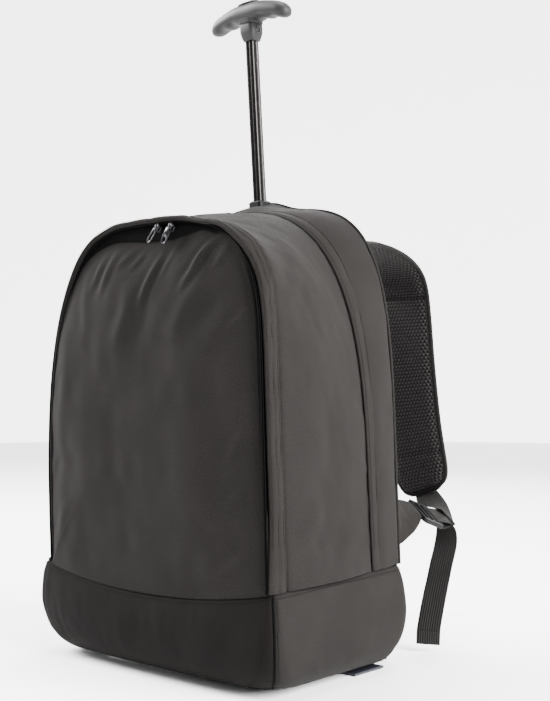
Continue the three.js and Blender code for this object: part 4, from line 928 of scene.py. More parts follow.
def front_gusset():
    front = arch_line("seam", 0, 0.2)
    rear = arch_line("zip", 0, -0.4 * ZIP_GAP)
    middle = np.linspace(0.045, 0.93, 34)
    share = np.concatenate([[0, 0.004, 0.012, 0.025], middle, [0.955, 0.975, 0.99, 1.0]])
    bulge = GUSSET_BULGE * np.sin(math.pi * share)
    edge = -2.8 * np.exp(-share / 0.014) - 1.2 * np.exp(-(1 - share) / 0.008)
    section = list(zip(share, bulge + edge))
    flat = between(front, rear, section)
    along = np.linspace(0, 1, flat.shape[0])[:, None]
    lift = gusset_folds(flat[..., 2], share)
    lift += hills(along, share[None, :], (1.9, 31, 16, 4), (0.5, 32, 46, 12))
    pucker = hills(along, share[None, :], (0.5, 33, 150, 3))
    near_seam = np.exp(-share / 0.12) + np.exp(-(1 - share) / 0.1)
    lift = lift * np.sin(math.pi * share) ** 0.5 + pucker * near_seam
    piece = grid_piece("front_gusset_cloth", between(front, rear, section, lift), WEAVE)
    add_thickness(piece, 1.6)
    settle(piece, stands_for=("front_gusset",))
    line = between(front, rear, [(0.975, bulge[-3])])[6:-6, 0]
    away = rear[1][6:-6]
    sew("front_gusset_stitches", line + away * 0.3, away)


# Rear wall's section: (share from front to rear, height outwards)
REAR_SECTION = [
    (0.03, -2.6), (0.0, -1.8), (-0.01, -0.8), (0.0, 0.3), (0.02, 0.8), (0.06, 1.1), (0.12, 1.2),
    (0.19, 1.25), (0.225, 1.0), (0.25, 1.3), (0.29, 1.75), (0.35, 2.2), (0.42, 2.5), (0.5, 2.6),
    (0.6, 2.5), (0.7, 2.2), (0.8, 1.7), (0.88, 1.1), (0.94, 0.5), (0.975, -0.1), (1.0, -0.9),
]


def rear_gusset():
    front = arch_line("zip", 0, -0.12 * ZIP_GAP)
    rear = arch_line("back")
    share = np.array([s for s, _ in REAR_SECTION])
    along = np.linspace(0, 1, len(front[0]))[:, None]
    lift = hills(along, share[None, :], (0.55, 41, 30, 3), (0.3, 42, 110, 4))
    lift *= np.clip(share * 6, 0, 1)
    piece = grid_piece("rear_gusset_cloth", between(front, rear, REAR_SECTION, lift), WEAVE)
    add_thickness(piece, 1.6)
    settle(piece, stands_for=("rear_gusset",))
    for k, row in enumerate([(0.05, 1.1), (0.225, 1.1)]):
        line = between(front, rear, [row])[:, 0]
        sew(f"rear_gusset_stitches_{k}", line[6:-6], front[1][6:-6])
    piping, _ = arch_line("back", 0.2, 0.6)
    settle(tube("back_binding", piping, 1.6, WEAVE, side=(0, 1, 0)))


# Back panel
CHANNEL_X = 34
CHANNEL_HEIGHTS = (190, 315)
CHANNEL_WIDTH = 4.0


def back_panel():
    arch, _ = arch_line("back", 2.6)
    side_end = BASE_REAR_X - 0.9
    seam_top = side_seam_height(arch_y(ARCHES["back"], side_end, SEAM_HEIGHT)) + GAP
    low = KICK_HEIGHT + 2
    right = resample([(side_end, seam_top), (side_end, low)], 14)
    bottom = resample([(side_end, low), (-side_end, low)], 90)[1:]
    left = resample([(-side_end, low), (-side_end, seam_top)], 14)[1:]
    edge = np.vstack([arch[:, [0, 2]], right, bottom, left])
    dome = np.zeros(len(edge))
    start = len(arch) + len(right)
    dome[start:start + len(bottom)] = BACK_DOME * (1 - (bottom[:, 0] / side_end) ** 4)
    middle = 0.55 * BODY_HEIGHT
    t = np.linspace(0, 1, 49)[1:, None]
    x = edge[:, 0] * t
    z = middle + (edge[:, 1] - middle) * t
    rise = BACK_DOME + (dome - BACK_DOME) * t ** 4 - back_channels(x, z) * (1 - t ** 12)
    rings = np.stack([x, arch_y(ARCHES["back"], x, z) + rise, z], 2)
    peak = [0, arch_y(ARCHES["back"], 0.0, middle) + BACK_DOME - float(back_channels(0.0, middle)), middle]
    piece = fan_sheet("back_panel_mesh", peak, rings, MESH)
    add_thickness(piece, BACK_PAD - 0.5)
    settle(piece, stands_for=("back_panel",))


def back_channels(x, z):
    """Depth of the back pad's sewn lines: one down each side of the handle and two across."""
    upright = sum(np.exp(-((x - line) / CHANNEL_WIDTH) ** 2) for line in (-CHANNEL_X, CHANNEL_X))
    level = sum(np.exp(-((z - line) / CHANNEL_WIDTH) ** 2) for line in CHANNEL_HEIGHTS)
    return 3.0 * upright + 2.4 * level * (np.abs(x) > CHANNEL_X)


# Base band, from its seam down: height as a share of the seam's, spread of the bulge, tuck and corner
BASE_ROWS = np.array([
    (1, 0, 0, 0.35), (0.8, 0.65, 0, 0.4), (0.52, 1, 0, 0.55), (0.26, 0.7, 0.06, 0.85), (0.11, 0, 0.28, 1.1),
    (0.036, 0, 0.8, 1.3),
])
BASE_FINE = 34
BASE_TALL = 97.0
BASE_CENTRE = np.array([0, 0, 50.0])
REAR_TURN = 9
BASE_SIDE = 40
FORE_TURN = 15
BASE_CORNER = 1 + REAR_TURN + BASE_SIDE + FORE_TURN // 2


def base_path(row):
    """One level of the base band, from the left rear round the front to the right rear."""
    height, spread, tuck, corner = row
    out = spread * BASE_BULGE - tuck * BASE_ROUND
    radius = corner * BASE_ROUND
    half = HALF_WIDTH + out
    rear_radius = max(0.5, min(radius, half - BASE_REAR_X - 2))

    def front(x):
        z = height * front_seam_height(x)
        return front_plane_y(z) - seam_dome(x) * (1 - tuck) - out

    rear_seam = side_seam_height(FRONT_Y + BODY_DEPTH)
    rear_y = FRONT_Y + BODY_DEPTH - ARCHES["back"]["lean"] * height * rear_seam + out
    corner_y = float(front(half))
    turn = np.linspace(math.pi / 2, 0, REAR_TURN)
    rear = np.stack([half - rear_radius * (1 - np.cos(turn)), rear_y - rear_radius * (1 - np.sin(turn))], 1)
    side = np.linspace([half, rear_y - rear_radius], [half, corner_y + radius], BASE_SIDE + 2)[1:-1]
    turn = np.linspace(0, math.pi / 2, FORE_TURN)
    fore = np.stack([half - radius * (1 - np.cos(turn)), corner_y + radius * (1 - np.sin(turn))], 1)
    around = np.vstack([[[BASE_REAR_X, rear_y]], rear, side, fore])
    path = np.column_stack([around, height * side_seam_height(around[:, 1])])
    x = np.linspace(half - radius, 0, 60)[1:]
    path = np.vstack([path, np.column_stack([x, front(x), height * front_seam_height(x)])])
    return np.vstack([path[:-1] * [-1, 1, 1], path[::-1]])


def base_grid():
    want = np.linspace(0, len(BASE_ROWS) - 1, BASE_FINE)
    rows = smooth_curve(BASE_ROWS, 400)
    heights = np.interp(want, np.arange(len(BASE_ROWS)), BASE_ROWS[:, 0])
    fine = [[h] + [np.interp(-h, -rows[:, 0], rows[:, k]) for k in (1, 2, 3)] for h in heights]
    return np.stack([base_path(row) for row in fine])


def finer_ends(grid, first, last):
    """The same grid with extra columns beside a seam at its first or last column."""
    count = grid.shape[1]
    want = list(range(count))
    fine = [0.1, 0.25, 0.5, 0.75]
    if first:
        want += fine + [1.5]
    if last:
        want += [count - 1 - f for f in fine] + [count - 2.5]
    want = np.array(sorted(want))
    low = np.minimum(want.astype(int), count - 2)
    part = (want - low)[None, :, None]
    return grid[:, low] * (1 - part) + grid[:, low + 1] * part


def base_part(key, node, look, grid, away):
    """One cloth of the base band, sunk at its seams, with its top and corner stitches."""
    before, after = key != "left", key != "right"
    part = finer_ends(grid, before, after)
    inner = unit(finer_ends(away, before, after))
    steps = np.linalg.norm(np.diff(part, axis=1), axis=2)
    run = np.pad(np.cumsum(steps, axis=1), ((0, 0), (1, 0)))
    to_end = run[:, -1:] - run
    sink = before * np.exp(-run / 1.5) + after * np.exp(-to_end / 1.5)
    part = part - inner * (2.0 * sink)[..., None]
    piece = grid_piece(f"base_{key}_cloth", part, look, outward=BASE_CENTRE)
    add_thickness(piece, 1.6)
    settle(piece, stands_for=(node,))
    line = part[1] * 0.75 + part[2] * 0.25
    sew(f"base_{key}_stitches", line[3:-3] + inner[1, 3:-3] * 1.1, inner[1, 3:-3])
    if key != "front":
        at = np.argmin(np.abs((run if key == "right" else to_end) - 3.6), axis=1)
        out = inner[np.arange(len(part)), at]
        line = part[np.arange(len(part)), at] + out * 0.4
        sew(f"base_{key}_corner_stitches", line[2:-8], out[2:-8])


def base_band():
    grid = base_grid()
    rows, cols = grid.shape[:2]
    away = unit((grid - BASE_CENTRE) * [1, 1, 0])
    u, v = np.linspace(0, 1, rows)[:, None], np.linspace(0, 1, cols)[None, :]
    lift = hills(u, v, (0.9, 51, 3, 22), (0.3, 52, 8, 90))
    lift += hills(u, v, (0.3, 53, 2, 200)) * np.exp(-u / 0.12)
    lift *= np.clip(u * 9, 0, 1) * np.clip((1 - u) * 5, 0, 1)
    seam_in = -1.6 * np.exp(-(u * BASE_TALL / 2.2))
    grid = grid + away * (lift + seam_in)[..., None]
    # Painted shade: a dark tube of zip-tape cloth along the base's top seam stands in for the shadow in the
    # seam's groove.
    seam = grid[0] - away[0] * 0.2 + [0, 0, 0.3]
    settle(tube("base_top_shade_tube", seam, 0.75, TAPE, 8))
    near, far = BASE_CORNER, cols - 1 - BASE_CORNER
    # Painted shade: dark tubes down the base's corners stand in for the shadow in the corner seams' grooves.
    for side, at in (("left", near), ("right", far)):
        line = grid[1:-2, at] - away[1:-2, at] * 0.9
        settle(tube(f"base_corner_shade_tube_{side}", line, 0.8, TAPE, 8, side=(1, 0, 0)))
    base_part("left", "base_side_left", WEAVE, grid[:, :near + 1], away[:, :near + 1])
    base_part("front", "front_base_panel", BASE_WEAVE, grid[:, near:far + 1], away[:, near:far + 1])
    base_part("right", "base_side_right", WEAVE, grid[:, far:], away[:, far:])


# Wheel profiles: (radius, place along the axle)
TREAD = [
    (18.3, -9.6), (20, -10), (24.5, -9.7), (26.6, -8.6), (27.7, -6.6), (28, -4), (28, -1.2), (27.2, -0.9),
    (27.2, 0.9), (28, 1.2), (28, 4), (27.7, 6.6), (26.6, 8.6), (24.5, 9.7), (20, 10), (18.3, 9.6),
]
HUB = [
    (3.3, -9), (6.5, -9), (7.2, -8.4), (7.6, -6), (14.5, -6), (15.2, -8.2), (17.6, -8.6), (18, -8), (18, 8),
    (17.6, 8.6), (15.2, 8.2), (14.5, 6), (7.6, 6), (7.2, 8.4), (6.5, 9), (3.3, 9),
]
SPOKES = 6


# Hard base
def base_hardware():
    tray = NODES["base_tray"]
    tray.data.materials[0] = plastic_look("tray_plastic", (0.0085, 0.0095, 0.0135), 0.38, 0.8, 0.05)
    add_bevel(tray, 0.8)
    for side in ("left", "right"):
        wheel(side)
        NODES[f"foot_{side}"].data.materials[0] = RUBBER
        add_bevel(NODES[f"foot_{side}"], 0.5)
        NODES[f"wheel_axle_{side}"].data.materials[0] = STEEL
        add_bevel(NODES[f"wheel_axle_{side}"], 0.5)


def turned(name, profile, centre, material, sides=64):
    """A turned body about X from a closed profile."""
    radius, along = np.transpose(np.asarray(profile, float))
    turn = np.linspace(0, 2 * math.pi, sides, endpoint=False)
    grid = np.stack([np.column_stack([along, radius * np.cos(t), radius * np.sin(t)]) for t in turn])
    grid = grid + np.asarray(centre, float)
    piece = grid_piece(name, np.concatenate([grid, grid[:1]]), material, wrap=True)
    face_out(piece)
    return piece


def wheel(side):
    sign = -1 if side == "left" else 1
    centre = np.array([sign * (HALF_WIDTH - WHEEL_INSET), WHEEL_Y, WHEEL_RADIUS])
    body = f"{side}_wheel"
    tyre = turned(f"wheel_tyre_{side}_rubber", TREAD, centre, RUBBER)
    settle(tyre, body, (f"wheel_tyre_{side}",))
    parts = [turned(f"wheel_hub_{side}_core", HUB, centre, PLASTIC)]
    for k in range(SPOKES):
        a = k * 2 * math.pi / SPOKES
        direction = np.array([0, math.cos(a), math.sin(a)])
        path = np.linspace(centre + direction * 7.0, centre + direction * 15.0, 4)
        parts.append(tube(f"spoke_{k}", path, 7.6, PLASTIC, sides=8, side=(1, 0, 0), flat=0.16))
    settle(join(f"wheel_hub_{side}_spoked", *parts), body, (f"wheel_hub_{side}",))


# Pull handle, in its own leaning frame
def handle_frame(points):
    x, y, z = np.moveaxis(np.asarray(points, float), -1, 0)
    c, s = math.cos(HANDLE_LEAN), math.sin(HANDLE_LEAN)
    return np.stack([x, EXIT_Y + c * y - s * z, EXIT_Z + s * y + c * z], -1)


def rounded_ring(width, depth, corner, z, steps=6):
    flat = round_section(width, depth, corner, steps)
    return np.column_stack([flat, np.full(len(flat), z)])


def handle_loft(name, rings, material):
    return solid_grid(name, handle_frame(np.stack(rings)), material)


def collar_loft(name, rows, low, tall):
    """Rounded rings with widths as shares of the collar's and heights as shares of the part's own."""
    wide = COLLAR_WIDTH
    rings = [rounded_ring(w * wide, d * wide, corner, low + tall * h) for w, d, corner, h in rows]
    return handle_loft(name, rings, GRIP)


# Half the grip, from its middle: reach as a share of half its length, then drop, over, under and depth
GRIP_ROWS = np.array([
    (0, 0, 1, 1, 1), (0.2, 0, 0.99, 0.94, 1.0), (0.36, 0.05, 0.96, 0.70, 0.98),
    (0.5, 0.16, 0.93, 0.80, 0.95), (0.66, 0.32, 0.89, 0.62, 0.9), (0.82, 0.5, 0.8, 0.72, 0.82),
    (0.93, 0.66, 0.6, 0.56, 0.62), (0.985, 0.74, 0.3, 0.3, 0.34), (1.0, 0.76, 0.02, 0.02, 0.03),
])
# Grip's skirt and collar: (width, depth, corner in millimetres, height)
SKIRT_ROWS = [
    (1.05, 1.05, 5, 0), (1.08, 1.07, 6, 0.2), (1.18, 1.1, 7, 0.42), (1.42, 1.12, 8, 0.66),
    (1.9, 1.13, 9, 0.95), (2.3, 1.1, 9, 1.25),
]
COLLAR_ROWS = [
    (0.7, 0.73, 3, 0), (0.8, 0.81, 3.6, 0.12), (0.9, 0.9, 4, 0.3), (0.97, 0.97, 4.6, 0.45), (1, 1, 5, 0.6),
    (1, 1, 5, 0.96), (0.98, 0.98, 4.8, 1.0),
]
# Button: (length, width, corner, height over the grip)
BUTTON_ROWS = [
    (26, 12, 5.9, -3), (26, 12, 5.9, -0.1), (25.4, 11.4, 5.6, 0.7), (23.6, 9.8, 4.8, 1.5),
    (19.5, 7.0, 3.4, 2.2), (12, 3.6, 1.7, 2.6),
]
# Screw head: (radius, place along its axis)
SCREW_ROWS = [(2.7, -1.4), (2.7, -0.3), (2.4, 0.05), (1.9, 0.0), (1.7, -0.7), (0.3, -0.8)]


def grip_ring(row, sides=40):
    reach, drop, over, under, depth = row
    a = np.linspace(0, 2 * math.pi, sides, endpoint=False)
    tall = np.where(np.sin(a) > 0, over, under)
    squeeze = np.abs(np.cos(a)) ** 0.85 * np.sign(np.cos(a))
    y = 0.5 * GRIP_DEPTH * depth * squeeze
    z = GRIP_MIDDLE - drop * GRIP_RISE + GRIP_RISE * tall * np.abs(np.sin(a)) ** 0.9 * np.sign(np.sin(a))
    return np.column_stack([np.full(sides, reach * GRIP_LENGTH / 2), y, z])


def side_circle(radius, x, z, turn):
    """Points of a circle that faces along X."""
    return np.column_stack([np.full(len(turn), x), radius * np.cos(turn), z + radius * np.sin(turn)])


def pull_handle():
    right = [grip_ring(row) for row in smooth_curve(GRIP_ROWS, 36)]
    left = [ring * [-1, 1, 1] for ring in right[:0:-1]]
    wing = handle_loft("grip_wing", left + right, GRIP)
    skirt = collar_loft("grip_skirt", SKIRT_ROWS, GRIP_LOW, SKIRT_HEIGHT)
    settle(join("grip_moulding", wing, skirt), "handle", ("grip",))
    collar = collar_loft("grip_collar_moulding", COLLAR_ROWS, COLLAR_LOW, COLLAR_HEIGHT)
    settle(collar, "handle", ("grip_collar",))
    collar_screw()
    release_button()
    pole()
    NODES["handle_cover"].data.materials[0] = PLASTIC
    add_bevel(NODES["handle_cover"], 0.5)
    NODES["handle_sleeve"].data.materials[0] = POLE


def collar_screw():
    """Screw head on the collar's side, in a raised rim."""
    face = COLLAR_WIDTH / 2
    z = COLLAR_LOW + SCREW_SHARE * COLLAR_HEIGHT
    turn = np.linspace(0, 2 * math.pi, 28, endpoint=False)
    rings = [side_circle(radius, face + along + GAP, z, turn) for radius, along in SCREW_ROWS]
    settle(handle_loft("collar_screw_head", rings, NICKEL), "handle", ("collar_screw",))
    rim = handle_frame(side_circle(SCREW_RIM, face, z, np.linspace(0, 2 * math.pi, 37)))
    settle(tube("collar_screw_rim", rim, 0.6, BUTTON, 8, side=(1, 0, 0)), "handle")


def release_button():
    top = GRIP_MIDDLE + GRIP_RISE
    rings = [rounded_ring(w, d, c, top + z) for w, d, c, z in BUTTON_ROWS]
    button = handle_loft("release_button_cap", rings, BUTTON)
    settle(button, "button", ("release_button",))
    path = handle_frame(rounded_ring(28.5, 14.0, 6.9, top - 0.5, 8))
    bezel = tube("button_bezel", np.vstack([path, path[:1]]), 0.9, GRIP, sides=8)
    settle(bezel, "handle")


def pole():
    """Rounded pole with a shallow groove down each face."""
    flat = round_section(POLE_WIDTH, POLE_DEPTH, POLE_CORNER, 5)
    outline = resample(np.vstack([flat, flat[:1]]), 73)[:-1]
    groove = np.exp(-(outline[:, 0] / 0.9) ** 2) * (np.abs(outline[:, 1]) > 4)
    outline[:, 1] -= np.sign(outline[:, 1]) * groove * 0.7
    groove = np.exp(-((outline[:, 1] - 1.2) / 0.8) ** 2) * (np.abs(outline[:, 0]) > 4)
    outline[:, 0] -= np.sign(outline[:, 0]) * groove * 0.6
    levels = np.concatenate([np.linspace(-POLE_HIDDEN, POLE_SHOWN - 0.6, 30), [POLE_SHOWN]])
    rings = [np.column_stack([outline, np.full(len(outline), z)]) for z in levels]
    settle(handle_loft("handle_pole_tube", rings, POLE), "handle", ("handle_pole",))


# Zip sliders and pullers: wide marks the broad plate with one oval hole
FRONT_SLIDERS = [
    dict(side="left", swing=44.0, width=5.6, wide=False),
    dict(side="right", swing=36.0, width=7.4, wide=True),
]
SLIDER_WIDTH = 7.2
SLIDER_LENGTH = 8.0
# Slider body: (depth, scale)
SLIDER_ROWS = [(4.5, 0.9), (4.2, 1.0), (3.4, 1.0), (2.6, 0.96), (2.2, 0.8), (2.1, 0.4)]
BRIDGE_X = 2.2
BRIDGE_REACH = 2.6
PULLER_LENGTH = 17.0
PULLER_THICK = 1.3
MAIN_PULLER_WIDTH = 5.6
MAIN_PULLER_DROOP = math.radians(11.0)


def oval(width, length, steps=40, power=2.6):
    a = np.linspace(0, 2 * math.pi, steps, endpoint=False)
    c, s = np.cos(a), np.sin(a)
    return np.column_stack([width / 2 * np.abs(c) ** (2 / power) * np.sign(c),
                            length / 2 * np.abs(s) ** (2 / power) * np.sign(s)])


def ring_plate(outer, inner, thick, bevel):
    """A flat ring between two outlines in local X and Z, rounded at its edges, as a grid."""
    rows = []
    profile = [(0, 0), (0, 1), (0.5, 1), (1, 1), (1, 0), (1, -1), (0.5, -1), (0, -1)]
    for share, side in profile:
        line = outer * (1 - share) + inner * share
        pull = bevel if side and share in (0, 1) else 0.0
        centre = (outer + inner) / 2
        line = line + unit(centre - line) * pull
        rows.append(np.column_stack([line[:, 0], np.full(len(line), side * thick / 2), line[:, 1]]))
    grid = np.stack(rows, 1)
    return np.concatenate([grid, grid[:1]])


def puller_grid(width, wide):
    """The hanging plate: a slotted loop, or a wide plate with one oval hole near its end."""
    centre = np.array([0, -1.5 - PULLER_LENGTH / 2])
    outer = oval(width, PULLER_LENGTH, 48, 3.2) + centre
    if wide:
        inner = oval(width - 3.0, 5.2, 48, 2.4) + centre + [0, -PULLER_LENGTH / 2 + 4.4]
    else:
        inner = oval(width - 2.9, PULLER_LENGTH - 4.6, 48, 3.0) + centre + [0, -0.4]
    return ring_plate(outer, inner, PULLER_THICK, 0.25)


def placed(grid, place, turn):
    return grid @ np.asarray(turn).T + np.asarray(place)


def rotation_y(degrees):
    a = math.radians(degrees)
    return np.array([[math.cos(a), 0, math.sin(a)], [0, 1, 0], [-math.sin(a), 0, math.cos(a)]])


JOINTS = {j["name"]: j for j in frame["joints"]}


def joint_place(name):
    return 1000 * np.array(JOINTS[name]["pos_m"]) - [0, ORIGIN_Y, 0]


def bar(name, a, b, radius, material, sides=12):
    return tube(name, np.linspace(np.asarray(a, float), np.asarray(b, float), 5), radius, material, sides,
                side=(0.3, 0.2, 0.93))


def puller(name, place, turn, width, wide):
    plate = grid_piece("plate", placed(puller_grid(width, wide), place, turn), NICKEL, wrap=True)
    face_out(plate)
    ends = placed(np.array([[-1.3, 0, 0], [1.3, 0, 0], [0, 0, -0.6], [0, 0, -2.6]]), place, turn)
    barrel = bar("barrel", ends[0], ends[1], 1.6, NICKEL)
    neck = bar("neck", ends[2], ends[3], 1.0, NICKEL)
    return join(name, plate, barrel, neck)


def slider(name, place, turn):
    """Curved slider body: a shield shape under a bridge that holds the puller."""
    body = oval(SLIDER_WIDTH, SLIDER_LENGTH, 32, 3.0)
    rows = [np.column_stack([body[:, 0] * scale, np.full(32, depth), body[:, 1] * scale - 0.8])
            for depth, scale in SLIDER_ROWS]
    parts = [solid_grid("base", placed(np.stack(rows), place, turn), NICKEL)]
    a = np.linspace(-0.35, math.pi + 0.35, 14)
    for side in (-BRIDGE_X, BRIDGE_X):
        path = np.column_stack([np.full(14, side), 2.3 - BRIDGE_REACH * np.sin(a), BRIDGE_REACH * np.cos(a)])
        parts.append(tube("bridge", placed(path, place, turn), 0.75, NICKEL, sides=8, side=turn @ [1, 0, 0]))
    ends = placed(np.array([[-2.4, 0, 0], [2.4, 0, 0]]), place, turn)
    parts.append(bar("pin", ends[0], ends[1], 0.6, NICKEL, 8))
    return join(name, *parts)


def zip_metal():
    for spec in FRONT_SLIDERS:
        side = spec["side"]
        place = joint_place(f"{side}_front_pull_swing")
        turn = rotation_y(spec["swing"])
        body = slider(f"front_slider_{side}_metal", place, turn)
        settle(body, "pack", (f"front_slider_{side}",))
        pull = puller(f"front_puller_{side}_metal", place, turn, spec["width"], spec["wide"])
        settle(pull, f"{side}_front_pull", (f"front_puller_{side}",))
    place = joint_place("main_pull_swing")
    turn = np.array([[0, 0, 1], [-1, 0, 0], [0, -1, 0]], float)
    settle(slider("main_slider_metal", place, turn), "pack", ("main_slider",))
    c, s = math.cos(MAIN_PULLER_DROOP), math.sin(MAIN_PULLER_DROOP)
    tilt = np.array([[1, 0, 0], [0, c, -s], [0, s, c]])
    pull = puller("main_puller_metal", place, turn @ tilt, MAIN_PULLER_WIDTH, False)
    settle(pull, "main_pull", ("main_puller",))


# Shoulder pad, from its root: shares of the strap's reach, body's height, half width and pad's width
PAD_ROWS = np.array([
    (0.0, 0.884, 0.55, 1), (0.28, 0.888, 0.55, 1), (0.6, 0.874, 0.55, 1), (0.82, 0.848, 0.55, 1),
    (0.94, 0.81, 0.548, 1), (1.0, 0.74, 0.548, 1), (1.03, 0.66, 0.555, 1), (1.05, 0.58, 0.57, 1),
    (1.06, 0.5, 0.595, 1), (1.06, 0.43, 0.63, 1), (1.055, 0.385, 0.66, 0.97), (1.05, 0.362, 0.675, 0.84),
    (1.048, 0.35, 0.685, 0.6),
])
# Boxed cross on the pad: corners as (share of its length, place across), and the lines that join them
BOX_CORNERS = [(0.865, -11), (0.865, 11), (0.955, 11), (0.955, -11)]
BOX_LINES = [(0, 1), (1, 2), (2, 3), (3, 0), (0, 2), (1, 3)]
BINDING_STEPS = 220
# Free end: shares of its length as (drop, back, out)
TAIL_ROWS = [
    (0.12, 0.023, 0), (0.35, -0.03, -0.023), (0.6, -0.091, -0.045), (0.82, -0.136, -0.061),
    (0.94, -0.136, -0.068),
]
SIGNS = {"right": 1, "left": -1}
STRAP_LINE = unit([0.081, 0.943, -0.322])
STRAP_BAR = unit([0.817, -0.256, -0.518])
STRAP_FACE = unit(np.cross(STRAP_LINE, STRAP_BAR))
STRAP_UP = STRAP_FACE if STRAP_FACE[2] > 0 else -STRAP_FACE


def flip(points, hand):
    """The right strap's points, or the same mirrored for the left strap."""
    return np.asarray(points) * [SIGNS[hand], 1, 1]


def strap_piece(name, grid, hand, look, slot, *nodes):
    return settle(solid_grid(name, flip(grid, hand), look), stands_for=nodes)


def back_surface_y(x, z):
    share = max(abs(x) / HALF_WIDTH, abs(z / BODY_HEIGHT - 0.55) / 0.45)
    return arch_y(ARCHES["back"], x, z) + BACK_DOME * (1 - min(1, share) ** 4)


def pad_centres():
    reach, height, across, _ = PAD_ROWS.T
    root = back_surface_y(across[0] * HALF_WIDTH, height[0] * BODY_HEIGHT) + PAD_SEAT
    return np.column_stack([across * HALF_WIDTH, root + reach * STRAP_REACH, height * BODY_HEIGHT])


def pad_lines(count=96):
    """Centre line of the pad with its width share, side and upward directions."""
    both = smooth_curve(np.column_stack([pad_centres(), PAD_ROWS[:, 3] * 60]), count)
    centres, width = both[:, :3], both[:, 3] / 60
    return (centres, width) + cross_axes(centres, np.broadcast_to([1.0, 0, 0], centres.shape))


def strap_pad(hand):
    lines = pad_lines()
    centres, width, side, up = lines
    total = path_length(centres)
    along = np.linspace(0, total, len(centres))
    half = PAD_WIDTH / 2
    across = np.linspace(-1, 1, 27)
    thick = 1 - 0.78 * np.clip((np.abs(across) * half - (half - PAD_EDGE)) / PAD_EDGE, 0, 1) ** 1.5
    cross_seam = 1 - 0.55 * np.exp(-((along - PAD_SEAM * total) / 3.0) ** 2)
    end_seam = 1 - 0.35 * np.exp(-((along - 0.86 * total) / 3.0) ** 2)
    ends = np.clip(np.minimum(along, total - along) / 7.0, 0.25, 1) ** 0.5
    swell = cross_seam * end_seam * ends
    grid = []
    for i in range(len(centres)):
        top = np.column_stack([across * half * width[i], thick * swell[i] * PAD_THICK / 2])
        section = np.vstack([top, top[::-1] * [1, -1]])
        grid.append(centres[i] + section[:, :1] * side[i] + section[:, 1:] * up[i])
    piece = strap_piece(f"strap_pad_{hand}_mesh", grid, hand, MESH, "mesh", f"strap_pad_{hand}")
    edge_binding(hand, lines)
    pad_stitches(hand, lines)


def edge_binding(hand, lines):
    """Bound edge of the pad: a folded tape all round its free outline."""
    centres, width, side, up = lines
    half = PAD_WIDTH / 2 - 1.2
    reach = side * (half * width)[:, None]
    a = np.linspace(0, math.pi, 12)[1:-1, None]
    tip = centres[-1] + np.cos(a) * side[-1] * half * width[-1] + np.sin(a) * tangents(centres)[-1] * 2.2
    path = resample(flip(np.vstack([centres + reach, tip, (centres - reach)[::-1]]), hand), BINDING_STEPS)
    away = flip(np.vstack([up, np.repeat(up[-1:], len(a), 0), up[::-1]]), hand)
    away = unit(resample(away, BINDING_STEPS))
    across, lift = cross_axes(path, unit(np.cross(tangents(path), away)))
    grid = swept(path, across, lift, round_section(7.5, 4.4, 1.6, 4))
    settle(solid_grid(f"strap_pad_{hand}_binding", grid, BINDING))
    for name, away in (("stitches", lift), ("stitches_inner", -lift)):
        sew(f"strap_pad_{hand}_{name}", path + away * 2.3, away, 3.4, thread=THREAD_GREY)


def pad_stitches(hand, lines):
    """Sewn cross line and the boxed cross that holds the webbing, on both faces."""
    centres, _, side, up = lines

    def row(name, start, end, count, depth, away, pitch, length):
        points = []
        for share, across in np.linspace(start, end, count):
            k, t = divmod(share * (len(centres) - 1), 1)
            k = int(k)
            points.append(centres[k] * (1 - t) + centres[k + 1] * t + side[k] * across + up[k] * depth)
        return stitch_row(name, flip(points, hand), flip(away, hand), THREAD_GREY, pitch, length)

    rows = []
    for face in (-1, 1):
        depth = face * (PAD_THICK / 2 + 0.1)
        for a, b in BOX_LINES:
            rows.append(row("box", BOX_CORNERS[a], BOX_CORNERS[b], 9, depth, up[-8] * face, 2.6, 1.9))
        away = up[int(PAD_SEAM * len(centres))] * face
        rows.append(row("line", (PAD_SEAM, -27), (PAD_SEAM, 27), 12, depth * 0.5, away, 2.8, 2.0))
    settle(join(f"strap_pad_{hand}_sewing", *rows))


def wing_tip():
    y = arch_y(ARCHES["back"], HALF_WIDTH, WING_HEIGHT) + WING_REACH
    return np.array([HALF_WIDTH - WING_TUCK, y, WING_HEIGHT + 3])


def buckle_centre():
    return wing_tip() + STRAP_LINE * (BUCKLE_LENGTH / 2 + 0.6)


def far_bar():
    return buckle_centre() + STRAP_LINE * (BUCKLE_LENGTH / 2 - BUCKLE_BAR / 2)


def ribbon(path, across, width, thick, count=60, corner=0.7, wave=0.0, seed=0):
    """A flat strap along a path, with its side directions and widths given at the same points."""
    joined = np.hstack([np.asarray(path, float), np.asarray(across, float), np.reshape(width, (-1, 1))])
    fine = smooth_curve(joined, count)
    path, across, width = fine[:, :3], fine[:, 3:6], fine[:, 6]
    side, up = cross_axes(path, across)
    flat = round_section(2.0, thick, corner, 3)
    flat = resample(np.vstack([flat, flat[:1]]), 41)[:-1]
    section = np.stack([np.column_stack([flat[:, 0] * w / 2, flat[:, 1]]) for w in width])
    if wave:
        v = (flat[:, 0] + 1) / 2
        section[..., 1] += wave * smooth_noise(seed, 7, 2, np.linspace(0, 1, count)[:, None], v[None, :])
    return swept(path, side, up, section)


def strap_wing(hand):
    root_x = ARCHES["back"]["width"] * HALF_WIDTH - 1.0
    root = np.array([root_x, arch_y(ARCHES["back"], root_x, WING_HEIGHT) + 0.6, WING_HEIGHT])
    tip = wing_tip()
    neck = tip - STRAP_LINE * 8
    steps = [0, 0.35, 0.7, 1.0]
    path = np.vstack([root + (neck - root) * s for s in steps] + [tip - STRAP_LINE * 0.4])
    upright = np.array([0, ARCHES["back"]["lean"], -1.0])
    across = np.vstack([unit(upright * (1 - s) + STRAP_BAR * s) for s in steps] + [STRAP_BAR])
    width = [WING_ROOT + (WEB_WIDTH + 4 - WING_ROOT) * s for s in steps] + [WEB_WIDTH]
    grid = ribbon(path, across, width, WING_THICK, 40, 1.2, 0.8, 61)
    strap_piece(f"strap_wing_{hand}_cloth", grid, hand, WEAVE, "weave", f"strap_wing_{hand}")


